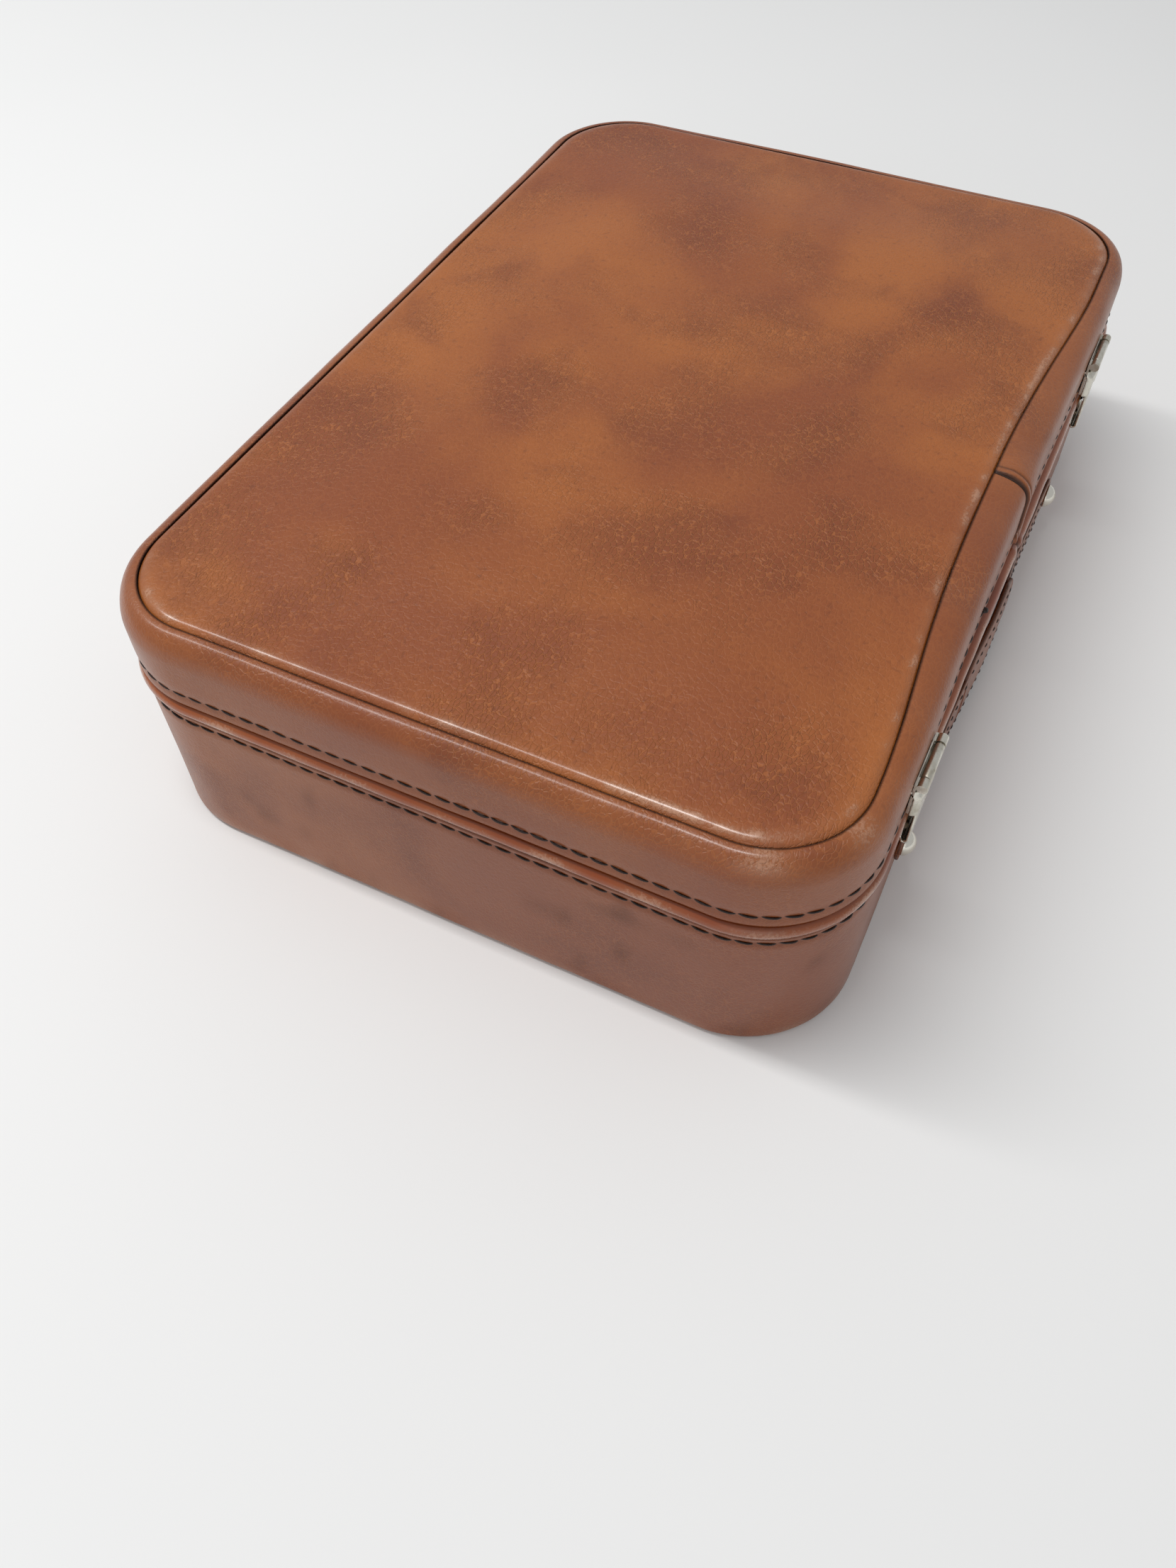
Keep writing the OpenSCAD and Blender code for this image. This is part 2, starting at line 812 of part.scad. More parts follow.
module battery_door() color("black") {
    block(
        [-door_w / 2 + gap, door_y0 + gap, door_axis_z - 1],
        [door_w / 2 - gap, door_axis_y + 1, panel_top]
    );
    rod_x(door_pin_r, door_w + 5.5, [0, door_axis_y, door_axis_z]);
    translate([0, door_y0 + 4, panel_top]) rotate([0, 90, 0]) intersection() {
        cylinder(r = 1.2, h = 16, center = true);
        translate([-2, -2, -10]) cube([2, 4, 20]);
    }
}

module battery_cells() color("gold") for (y = [-1, 1], level = [0, 1]) {
    translate([0, cell_y + y * (cell_r + 0.1), box_low + box_wall + 0.2 + cell_r * (1 + 2.02 * level)]) {
        rod_x(cell_r, cell_l - 1.5, [y * -0.75, 0, 0]);
        rod_x(2.7, 1.5, [y * (cell_l - 1.5) / 2, 0, 0]);
    }
}

module battery_contacts() color(nickel) for (side = [-1, 1], y = [-1, 1]) {
    translate([side * (door_w / 2 - 0.4), cell_y + y * 7.2, box_low + box_wall + 15])
        cube([0.8, 11, 26], center = true);
    rod_x(3, door_w / 2 - cell_l / 2 - 1, [side * (door_w / 4 + cell_l / 4 - 0.2), cell_y + y * 7.2, 29]);
}

module circuit_board() {
    board_y = door_y0 - box_wall;
    color("darkgreen") block([-28, board_y - 1.6, 23], [28, board_y, 51]);
    color("black") block([-9, board_y - 3.6, 26], [5, board_y - 1.6, 35]);
    color("silver") translate([16, board_y - 1.6, 30]) rotate([90, 0, 0]) cylinder(r = 4, h = 6);
    color("ivory") for (side = [-1, 1]) {
        block([side * motor_x - 3, board_y - 6.6, 25.5], [side * motor_x + 3, board_y - 1.6, 33]);
    }
}

// One lead: a run along -Y from its socket on the circuit board to the back of its motor
module lead(x, z) {
    socket_y = door_y0 - box_wall - 6.7;
    translate([x, socket_y, z]) rotate([90, 0, 0])
        cylinder(r = 0.8, h = socket_y - motor_y - motor_r - 0.2);
}

module wiring_leads() color("firebrick") for (side = [-1, 1]) {
    lead(side * motor_x + 0.9, 28);
    lead(side * motor_x - 1.5, 30.5);
}

base_board();
base_bottom();
base_band();
base_welt();
base_lining();
lid_board();
lid_band();
lid_top_panel();
lid_lining();
lid_pad();
latch_plates();
latch_hasp_left();
latch_hasp_right();
latch_pins();
latch_catches();
handle_grip();
handle_strap_left();
handle_strap_right();
handle_end_left();
handle_end_right();
handle_studs();
hinge_base_leaves();
hinge_lid_leaves();
hinge_pins();
base_rivets();
lid_rivets();
deck_board();
deck_cover();
deck_cleats();
deck_screws();
storage_wells();
watch_pillow_1();
watch_pillow_2();
watch_pillow_3();
watch_pillow_4();
rotor_cup_left();
rotor_cup_right();
rotor_pulley_left();
rotor_pulley_right();
watch_cushion_left();
watch_cushion_right();
rotor_bearings();
rotor_rings();
drive_belts();
gear_motors();
motor_brackets();
motor_pulley_left();
motor_pulley_right();
control_panel();
power_switch();
mode_knob();
switch_bodies();
indicator_lamp();
battery_box();
battery_door();
battery_cells();
battery_contacts();
circuit_board();
wiring_leads();
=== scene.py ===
# %% [markdown]
# # A leather watch winder case
# The case is a low box of stiff board with leather sewn over it. Its moving parts, sizes and hinge
# lines come from a CAD frame, and this script dresses that frame: it sews the leather, turns the
# studs, fills the cushions and gives every part its finish. All lengths in the script are metres.

# %% Load the frame
import math

import bmesh
import bpy
import numpy as np
from mathutils import Matrix, Vector, noise


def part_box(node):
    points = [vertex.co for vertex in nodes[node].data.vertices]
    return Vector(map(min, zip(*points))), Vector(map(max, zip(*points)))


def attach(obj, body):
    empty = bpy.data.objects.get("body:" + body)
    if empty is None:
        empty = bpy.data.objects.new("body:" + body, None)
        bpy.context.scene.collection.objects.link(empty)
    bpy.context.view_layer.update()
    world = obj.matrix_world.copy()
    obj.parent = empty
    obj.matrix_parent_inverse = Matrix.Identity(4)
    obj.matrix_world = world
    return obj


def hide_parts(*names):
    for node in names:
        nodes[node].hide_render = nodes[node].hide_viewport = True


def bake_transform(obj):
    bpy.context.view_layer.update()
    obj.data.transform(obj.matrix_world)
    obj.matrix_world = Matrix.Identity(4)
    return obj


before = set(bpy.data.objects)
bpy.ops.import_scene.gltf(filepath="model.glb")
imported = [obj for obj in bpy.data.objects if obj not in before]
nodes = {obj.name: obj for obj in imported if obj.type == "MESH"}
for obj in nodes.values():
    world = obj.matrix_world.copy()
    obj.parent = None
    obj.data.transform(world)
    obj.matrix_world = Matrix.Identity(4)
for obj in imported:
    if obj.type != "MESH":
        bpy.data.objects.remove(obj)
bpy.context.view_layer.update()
MM = 0.001

# %% [markdown]
# The camera looks down on the near end and the front of the case, a little over an arm's length away.
# Its turn is given as an azimuth round the case, an elevation above the table and a slight roll.

# %% Camera
CAMERA_AT = Vector((-0.3622, -0.1442, 0.3697))
AZIMUTH, ELEVATION, ROLL = math.radians(-62.84), math.radians(52.71), math.radians(-1.33)


def make_camera():
    back = Vector((math.sin(AZIMUTH) * math.cos(ELEVATION),
                   -math.cos(AZIMUTH) * math.cos(ELEVATION),
                   math.sin(ELEVATION)))
    data = bpy.data.cameras.new("camera")
    data.lens, data.sensor_width = 28.46, 36
    camera = bpy.data.objects.new("camera", data)
    bpy.context.scene.collection.objects.link(camera)
    turn = (-back).to_track_quat("-Z", "Y").to_matrix() @ Matrix.Rotation(ROLL, 3, "Z")
    camera.matrix_world = Matrix.Translation(CAMERA_AT) @ turn.to_4x4()
    data.clip_start, data.clip_end = 0.01, 20
    bpy.context.scene.camera = camera


make_camera()
print("camera set,", round(CAMERA_AT.length, 3), "m from the underside's centre")

# %% [markdown]
# ## Shader sums written as sums
# A material's pattern is arithmetic on textures. Each output socket is wrapped in a small class, so
# that `0.4 + 0.2 * cloud` builds the Math nodes by itself. Any other node comes from `Finish.node`.


# %% A socket that can be added and multiplied
class Wire:
    def __init__(self, tree, socket):
        self.tree, self.socket = tree, socket

    def _sum(self, operation, first, second):
        made = self.tree.nodes.new("ShaderNodeMath")
        made.operation = operation
        for slot, value in zip(made.inputs, (first, second)):
            if isinstance(value, Wire):
                self.tree.links.new(value.socket, slot)
            else:
                slot.default_value = value
        return Wire(self.tree, made.outputs[0])

    def __add__(self, other):
        return self._sum("ADD", self, other)

    def __radd__(self, other):
        return self._sum("ADD", other, self)

    def __sub__(self, other):
        return self._sum("SUBTRACT", self, other)

    def __rsub__(self, other):
        return self._sum("SUBTRACT", other, self)

    def __mul__(self, other):
        return self._sum("MULTIPLY", self, other)

    def __rmul__(self, other):
        return self._sum("MULTIPLY", other, self)

    def most(self, other):
        return self._sum("MAXIMUM", self, other)

    def size(self):
        return self._sum("ABSOLUTE", self, 0.0)


# %% A material under construction
def linear(colour):
    """A colour picked on a screen, as the linear light that shaders work in."""
    return tuple(c / 12.92 if c <= 0.04045 else ((c + 0.055) / 1.055) ** 2.4 for c in colour) + (1.0,)


class Finish:
    def __init__(self, name, **fixed):
        self.material = bpy.data.materials.new(name)
        self.material.use_nodes = True
        self.tree = self.material.node_tree
        self.shader = self.tree.nodes["Principled BSDF"]
        for socket, value in fixed.items():
            self.shader.inputs[socket.replace("_", " ")].default_value = value
        where = self.tree.nodes.new("ShaderNodeTexCoord")
        self.place = Wire(self.tree, where.outputs["Object"])

    def node(self, kind, settings=None, output=0, **inputs):
        made = self.tree.nodes.new(kind)
        for key, value in (settings or {}).items():
            if key == "stops":
                ramp = made.color_ramp
                while len(ramp.elements) < len(value):
                    ramp.elements.new(0.5)
                for element, (at, colour) in zip(ramp.elements, value):
                    element.position, element.color = at, colour
            else:
                setattr(made, key, value)
        for key, value in inputs.items():
            slot = made.inputs[int(key[1:])] if key[1:].isdigit() else made.inputs[key.replace("_", " ")]
            if isinstance(value, Wire):
                self.tree.links.new(value.socket, slot)
            else:
                slot.default_value = value
        return Wire(self.tree, made.outputs[output])

    def noise(self, scale, detail=3.0, rough=0.5, warp=0.0, at=None):
        return self.node("ShaderNodeTexNoise", Vector=at or self.place, Scale=scale, Detail=detail,
                         Roughness=rough, Distortion=warp)

    def cells(self, scale, feature, at):
        return self.node("ShaderNodeTexVoronoi", {"feature": feature}, Vector=at, Scale=scale)

    def stretch(self, x, y, z):
        return self.node("ShaderNodeMapping", Vector=self.place, Scale=(x, y, z))

    def step(self, value, low, high):
        """0 below low, 1 above high, smooth between."""
        return self.node("ShaderNodeMapRange", {"interpolation_type": "SMOOTHSTEP"},
                         Value=value, From_Min=low, From_Max=high)

    def attribute(self, name):
        return self.node("ShaderNodeAttribute", {"attribute_name": name}, output=2)

    def mix(self, amount, first, second):
        """Colour mix: amount 0 gives first, 1 gives second."""
        return self.node("ShaderNodeMix", {"data_type": "RGBA"}, 2, i0=amount, i6=first, i7=second)

    def set(self, socket, value):
        self.tree.links.new(value.socket, self.shader.inputs[socket])

    def bump(self, height, distance, strength=1.0):
        made = self.node("ShaderNodeBump", Height=height, Distance=distance, Strength=strength)
        self.set("Normal", made)


print("shader helpers ready")

# %% [markdown]
# ## Leather
# Vegetable-tanned cowhide: a cloudy orange and red brown, because the dye takes unevenly, with a fine
# pebbled grain and short creases where the hide was stretched over an edge. Three mesh attributes
# carry what the maker's hands and years of use did, with painted light and shade on top:
# `rub` is where an edge has worn pale and shiny and also painted highlight on rolled
# edges and ridges, `grime` is dark wax in a fold and dark cut edges and also painted shade
# in grooves, channels and under the welt, and `tight` is where the hide is pulled smooth.


# %% Cover leather
def leather(name, light, mid, dark, gloss=0.42, grain=1.0):
    f = Finish(name, Specular_IOR_Level=0.36, Coat_Roughness=0.19, Coat_IOR=1.5)
    rub, grime, tight = f.attribute("rub"), f.attribute("grime"), f.attribute("tight")
    clouds = f.noise(8, 3, 0.5, 0.5)
    patches = f.noise(21, 4, 0.55, 0.3)
    flecks = f.noise(420, 3, 0.6)
    warped = f.node("ShaderNodeMix", {"data_type": "VECTOR"}, 1, i0=0.0016, i4=f.place,
                    i5=f.node("ShaderNodeTexNoise", None, 1, Vector=f.place, Scale=330.0))
    pebbles = f.cells(820, "SMOOTH_F1", warped)
    creases = f.cells(560, "DISTANCE_TO_EDGE", f.node("ShaderNodeMapping", Vector=warped,
                                                      Rotation=(0, 0, 0.6), Scale=(0.72, 1.2, 1.0)))
    crease = 1 - f.step(creases, 0.0, 0.14)
    field = f.step(f.noise(22, 3, 0.5), 0.42, 0.64)
    crease = crease * (0.3 + 0.7 * field) * (1 - tight)
    tone = f.mix(f.step(clouds, 0.36, 0.62), linear(mid), linear(light))
    tone = f.mix(0.6 * f.step(patches, 0.44, 0.74), tone, linear(dark))
    tone = f.mix(0.16 * f.step(flecks, 0.5, 0.8), tone, linear(dark))
    tone = f.mix(0.45 * crease, tone, linear((0.70, 0.42, 0.20)))
    tone = f.mix(0.3 * f.step(pebbles, 0.5, 0.9) * (1 - tight), tone, linear((0.29, 0.125, 0.055)))
    # Paler orange on worn edges, which is also painted highlight on the rolled edges and ridges; the whitish
    # flecks are scuffs and painted highlight.
    scuff_and_highlight = f.step(f.noise(900, 4, 0.7) + 0.5 * rub, 0.72, 0.92) * rub
    tone = f.mix(0.6 * rub, tone, linear((0.63, 0.38, 0.19)))
    tone = f.mix(0.3 * scuff_and_highlight, tone, linear((0.84, 0.70, 0.60)))
    # Near black: dark wax and dark cut edges, and also painted shade in grooves, channels and under the welt.
    tone = f.mix(0.93 * grime, tone, linear((0.085, 0.045, 0.03)))
    f.set("Base Color", tone)
    f.set("Roughness", gloss + 0.16 * patches - 0.16 * rub + 0.10 * scuff_and_highlight + 0.25 * grime)
    f.set("Coat Weight", (0.26 + 0.74 * rub - 0.26 * grime).most(0.0))
    height = 0.30 * f.noise(60, 3) + 0.16 * f.noise(1500, 2) - 0.26 * pebbles * (1 - 0.8 * tight)
    f.bump(height - 0.45 * crease + 0.25 * scuff_and_highlight, 0.0005 * grain, 1.0)
    return f.material


COVER = leather("cover_leather", (0.64, 0.362, 0.145), (0.535, 0.272, 0.118), (0.425, 0.19, 0.09))
BAND = leather("band_leather", (0.565, 0.31, 0.14), (0.51, 0.26, 0.125), (0.425, 0.20, 0.10), 0.34, 0.8)
WELT = leather("welt_leather", (0.59, 0.29, 0.12), (0.51, 0.225, 0.10), (0.36, 0.135, 0.07), 0.25, 0.6)
STRAP = leather("strap_leather", (0.54, 0.30, 0.16), (0.48, 0.245, 0.13), (0.36, 0.16, 0.09), 0.34, 0.6)
print("four leathers")


# %% Waxed thread
def thread():
    f = Finish("waxed_thread", Roughness=0.5, Specular_IOR_Level=0.4)
    twist = f.noise(900, 2, 0.6)
    f.set("Base Color", f.mix(twist, linear((0.07, 0.045, 0.035)), linear((0.20, 0.12, 0.09))))
    f.bump(f.noise(1600, 2), 0.0003)
    return f.material


THREAD = thread()


# %% [markdown]
# ## Metal
# The fittings are stamped brass with nickel on it. Old nickel is a warm grey, with small pits where it
# has lifted and a browner film in patches, so its roughness is patchy and not one number.


# %% Aged nickel and plain steel
def nickel(name, tone, film, rough=0.2, pitted=1.0):
    f = Finish(name)
    clouds = f.noise(140, 4, 0.6)
    fine = f.noise(900, 4, 0.65)
    pits = f.step(f.noise(620, 3, 0.7), 0.60, 0.70) * f.step(f.noise(90, 2), 0.42, 0.6)
    stain = f.step(clouds, 0.45, 0.75) * 0.6 + pits * 0.35 * pitted
    f.set("Base Color", f.mix(stain, linear(tone), linear(film)))
    f.set("Metallic", 1 - 0.35 * pitted * pits)
    f.set("Roughness", rough + 0.22 * f.step(clouds, 0.4, 0.8) + 0.08 * fine + 0.25 * pitted * pits)
    f.bump(0.4 * clouds + 0.25 * fine - 0.8 * pitted * pits, 0.00018, 0.7)
    return f.material


NICKEL = nickel("aged_nickel", (0.86, 0.845, 0.80), (0.60, 0.56, 0.47))
DOME = nickel("dome_nickel", (0.90, 0.885, 0.84), (0.68, 0.65, 0.56), 0.10, 0.35)
STEEL = nickel("zinc_steel", (0.72, 0.73, 0.74), (0.55, 0.56, 0.58), 0.32, 0.1)
BRIGHT = nickel("bright_nickel", (0.90, 0.89, 0.87), (0.78, 0.77, 0.74), 0.14, 0.05)
print("four metals")


# %% [markdown]
# ## Linings
# Suede is the flesh side of the hide, brushed up. It has almost no shine, a soft glow at grazing
# angles, which the sheen sockets give, and paler and darker strokes where a hand has passed.


# %% Suede and fibre board
def suede(name, light, dark):
    f = Finish(name, Roughness=0.95, Sheen_Weight=0.35, Sheen_Roughness=0.45, Specular_IOR_Level=0.15)
    strokes = f.noise(34, 4, 0.6, 0.4, f.stretch(1, 1.7, 1))
    fibres = f.noise(2600, 3, 0.7)
    speckle = f.noise(520, 3, 0.6)
    tone = f.mix(f.step(strokes, 0.25, 0.8), linear(dark), linear(light))
    tone = f.mix(0.35 * f.step(speckle, 0.35, 0.8), tone, linear(dark))
    # Darker in the sewn channels of the pad and the seams of the cushions: painted shade.
    tone = f.mix(0.65 * f.attribute("grime"), tone, linear(tuple(0.45 * c for c in dark)))
    f.set("Base Color", tone)
    f.bump(0.7 * fibres + 0.4 * speckle + 0.2 * strokes, 0.00035, 0.8)
    return f.material


SUEDE = suede("tan_suede", (0.655, 0.53, 0.405), (0.605, 0.485, 0.365))
CREAM = suede("cream_suede", (0.83, 0.76, 0.65), (0.785, 0.71, 0.595))


def fibre_board():
    f = Finish("fibre_board", Roughness=0.85)
    fibres = f.noise(160, 5, 0.7, 0.0, f.stretch(1, 6, 6))
    f.set("Base Color", f.mix(fibres, linear((0.50, 0.38, 0.26)), linear((0.68, 0.55, 0.40))))
    f.bump(fibres, 0.0004)
    return f.material


BOARD = fibre_board()


# %% Plastics, rubber, cells, circuit board, lamp
def plastic(name, tone, rough=0.45, texture=1.0):
    f = Finish(name, Specular_IOR_Level=0.5)
    grainy = f.noise(1900, 2, 0.6)
    worn = f.noise(45, 4, 0.6)
    pale = tuple(min(1, c * 1.25 + 0.02) for c in tone)
    f.set("Base Color", f.mix(f.step(worn, 0.35, 0.8), linear(tone), linear(pale)))
    f.set("Roughness", rough + 0.12 * worn)
    f.bump(grainy, 0.00012 * texture, 0.6)
    return f.material


BLACK = plastic("black_plastic", (0.11, 0.105, 0.10), 0.38, 2.0)
GREY = plastic("grey_acetal", (0.52, 0.52, 0.53), 0.42)
KNOB = plastic("knob_plastic", (0.15, 0.145, 0.14), 0.3)
RED = plastic("red_rocker", (0.62, 0.09, 0.07), 0.22, 0.4)
RUBBER = plastic("belt_rubber", (0.08, 0.08, 0.08), 0.7, 3.0)
LEAD = plastic("lead_insulation", (0.60, 0.10, 0.08), 0.4, 0.5)


def lamp():
    f = Finish("green_lens", Roughness=0.12, Transmission_Weight=0.35, Emission_Strength=0.25)
    glow = f.noise(500, 2)
    f.set("Base Color", f.mix(glow, linear((0.25, 0.75, 0.35)), linear((0.45, 0.95, 0.5))))
    f.set("Emission Color", f.mix(glow, linear((0.2, 0.7, 0.3)), linear((0.4, 0.95, 0.5))))
    return f.material


def cell_wrap():
    f = Finish("cell_wrap", Metallic=0.35, Coat_Weight=0.4)
    along = f.node("ShaderNodeSeparateXYZ", None, 0, Vector=f.place)
    ends = f.step(along.size(), 0.0165, 0.0169)
    f.set("Base Color", f.mix(ends, linear((0.16, 0.15, 0.15)), linear((0.78, 0.60, 0.26))))
    f.set("Roughness", 0.22 + 0.2 * f.noise(200, 3))
    return f.material


def circuit():
    f = Finish("circuit_board", Roughness=0.4)
    tracks = f.node("ShaderNodeTexBrick", {"offset": 0.5}, 1, Vector=f.stretch(1, 1, 1), Scale=160.0)
    f.set("Base Color", f.mix(tracks, linear((0.05, 0.30, 0.16)), linear((0.12, 0.42, 0.24))))
    f.bump(tracks, 0.00015)
    return f.material


LAMP, CELL, CIRCUIT = lamp(), cell_wrap(), circuit()
print("linings, plastics and electrics")

# %% [markdown]
# ## The CAD parts that stay as they are
# Deck board, screws, pulleys, hinges and switches already have their true shape, so they only need a finish.

# %% Finish for each carried-over node
FINISHES = {
    BOARD: ("deck_board", "deck_cleats"),
    NICKEL: ("latch_plates", "latch_pins", "hinge_base_leaves", "hinge_lid_leaves", "hinge_pins",
             "base_rivets", "lid_rivets"),
    BRIGHT: ("deck_screws", "battery_contacts"),
    BLACK: ("control_panel", "switch_bodies", "battery_box", "battery_door"),
    GREY: ("rotor_pulley_left", "rotor_pulley_right", "motor_pulley_left", "motor_pulley_right",
           "rotor_bearings"),
    KNOB: ("mode_knob",),
    RED: ("power_switch",),
    RUBBER: ("drive_belts",),
    STEEL: ("gear_motors", "motor_brackets"),
    LAMP: ("indicator_lamp",),
    CELL: ("battery_cells",),
    CIRCUIT: ("circuit_board",),
    LEAD: ("wiring_leads",),
}
for finish, names in FINISHES.items():
    for name in names:
        nodes[name].data.materials.clear()
        nodes[name].data.materials.append(finish)
print("finished", sum(len(names) for names in FINISHES.values()), "CAD nodes in place")

# %% [markdown]
# ## The outline of the case
# Everything sewn follows one line: a rectangle with large round corners. A walk round it gives, for
# each step, the point on the line and the direction out of the wall. A profile of (depth into the
# case, height) pairs carried along the walk makes a band of leather.

# %% Sizes read from the frame
low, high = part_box("lid_band")
HALF_L, HALF_W = high.x, high.y
LID_LOW, RIM = low.z, high.z
BAND_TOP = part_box("base_band")[1].z
CORNER = 39 * MM
GROOVE = 7.5 * MM
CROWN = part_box("lid_top_panel")[1].z
STEP = 1.6 * MM
LAP_X = 1.0 * MM
LID_SEAM, BASE_SEAM = LID_LOW + 4.5 * MM, 60 * MM
NICK_X, KNOT_X = 20 * MM, -40 * MM


def outline_walk():
    """Points and outward directions round the case, counter-clockwise from the middle of the back.
    The steps are finer at the lap joint, which is narrow."""
    spots = []

    def straight(x0, y0, x1, y1, out):
        count = max(2, round(math.dist((x0, y0), (x1, y1)) / STEP))
        for i in range(count):
            t = i / count
            spots.append((x0 + (x1 - x0) * t, y0 + (y1 - y0) * t, *out))

    def corner(cx, cy, start):
        count = round(CORNER * math.pi / 2 / (0.8 * STEP))
        for i in range(count):
            a = start + math.pi / 2 * i / count
            spots.append((cx + CORNER * math.cos(a), cy + CORNER * math.sin(a), math.cos(a), math.sin(a)))

    lx, ly = HALF_L - CORNER, HALF_W - CORNER
    straight(0, HALF_W, -lx, HALF_W, (0, 1))
    corner(-lx, ly, math.pi / 2)
    straight(-HALF_L, ly, -HALF_L, -ly, (-1, 0))
    corner(-lx, -ly, math.pi)
    straight(-lx, -HALF_W, lx, -HALF_W, (0, -1))
    corner(lx, -ly, 1.5 * math.pi)
    straight(HALF_L, -ly, HALF_L, ly, (1, 0))
    corner(lx, ly, 0)
    straight(lx, HALF_W, 0, HALF_W, (0, 1))
    near = [s for s in spots if not (s[3] == -1 and abs(s[0] - LAP_X) < 4 * MM)]
    fine = [(LAP_X + d * MM, -HALF_W, 0, -1) for d in np.arange(-4, 4.01, 0.25)]
    at = next(i for i, s in enumerate(near) if s[3] == -1 and s[0] > LAP_X)
    return near[:at] + fine + near[at:]


WALK = outline_walk()
print("outline walk:", len(WALK), "steps")


# %% Small helpers for meshes
def smooth(value, low, high):
    t = min(1.0, max(0.0, (value - low) / (high - low)))
    return t * t * (3 - 2 * t)


def new_piece(name, verts, faces, finish, body, slot, replaces=(), marks=None, flat=False):
    mesh = bpy.data.meshes.new(name)
    mesh.from_pydata([tuple(v) for v in verts], [], faces)
    mesh.materials.append(finish)
    for mark, values in (marks or {}).items():
        layer = mesh.attributes.new(mark, "FLOAT", "POINT")
        layer.data.foreach_set("value", np.asarray(values, np.float32))
    mesh.validate()
    piece = bpy.data.objects.new(name, mesh)
    bpy.context.scene.collection.objects.link(piece)
    if not flat:
        mesh.shade_smooth()
    settle(piece, body, slot, replaces)
    return piece


def settle(piece, body, slot, replaces=()):
    if body:
        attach(piece, body)
    if replaces:
        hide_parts(*replaces)


def clean(piece, merge=0.0, turn_out=True, fill=None):
    """Joins points closer than merge, closes the hole that fill picks and turns all faces outwards."""
    bm = bmesh.new()
    bm.from_mesh(piece.data)
    if merge:
        bmesh.ops.remove_doubles(bm, verts=bm.verts, dist=merge)
    if fill:
        bmesh.ops.holes_fill(bm, edges=[e for e in bm.edges if fill(e)], sides=0)
    if turn_out:
        bmesh.ops.recalc_face_normals(bm, faces=bm.faces)
    bm.to_mesh(piece.data)
    bm.free()


def bake(piece):
    """Puts the result of the piece's modifiers into its mesh."""
    baked = bpy.data.meshes.new_from_object(piece.evaluated_get(bpy.context.evaluated_depsgraph_get()))
    piece.modifiers.clear()
    piece.data = baked


def wobble(x, y, z, scale, seed):
    return noise.noise(Vector((x * scale + seed, y * scale - seed, z * scale)))


def hump(x, middle, half):
    """1 at the middle, falling to 0 at half on both sides."""
    t = min(1.0, abs(x - middle) / half)
    return (1 - t ** 2.6) ** 2


def waist(x, out_y):
    """How far the front wall is drawn in between the corners, which glue and years have done."""
    return 1.3 * MM * hump(x, -5 * MM, 130 * MM) if out_y < -0.5 else 0.0


def base_waist(x, out_y):
    """The same for the base."""
    return 1.5 * MM * hump(x, 0, 146 * MM) if out_y < -0.5 else 0.0


def carry(profile, walk=WALK, shape=None, closed=False):
    """A profile of (depth, height) carried round the walk. shape(x, y, out, depth, z) gives the bend."""
    verts, faces = [], []
    rings, n = len(profile), len(walk)
    for x, y, ox, oy in walk:
        for k, (depth, z) in enumerate(profile):
            d, h = shape(x, y, (ox, oy), depth, z) if shape else (depth, z)
            verts.append((x - ox * d, y - oy * d, h))
    last = rings if closed else rings - 1
    for i in range(n):
        j = (i + 1) % n
        for k in range(last):
            m = (k + 1) % rings
            faces.append((i * rings + k, j * rings + k, j * rings + m, i * rings + m))
    return verts, faces


def arc(cx, cz, rx, rz, start, end, count):
    """Points on a quarter or part of an ellipse, as (depth, height)."""
    angles = [math.radians(start + (end - start) * i / count) for i in range(count + 1)]
    return [(cx + rx * math.cos(a), cz + rz * math.sin(a)) for a in angles]


# %% [markdown]
# ## The leather band of the lid
# One strip of hide is wrapped round the lid, rolled over its rim and pressed into a groove round the
# top. Its two ends overlap at the middle of the front: the lapped end makes a dark cut edge and a
# soft step. The band is a profile carried round the walk, with the roll as part of an ellipse.

# %% Lid band
LAP_STEP = 1.1 * MM
ROLL_IN, ROLL_DOWN = 6.9 * MM, 9.5 * MM


def groove_bow(x, out_y):
    """How far the groove bows in along the front."""
    return 5.4 * MM * hump(x, -12 * MM, 135 * MM) if out_y < -0.5 else 0.0


def lap_height(x, out_y):
    """The lapped end stands proud just past the joint and sinks back along the wall."""
    past = x - LAP_X
    if out_y > -0.5 or past < 0:
        return 0.0
    return smooth(past, 0, 0.5 * MM) * (1 - smooth(past, 4 * MM, 26 * MM))


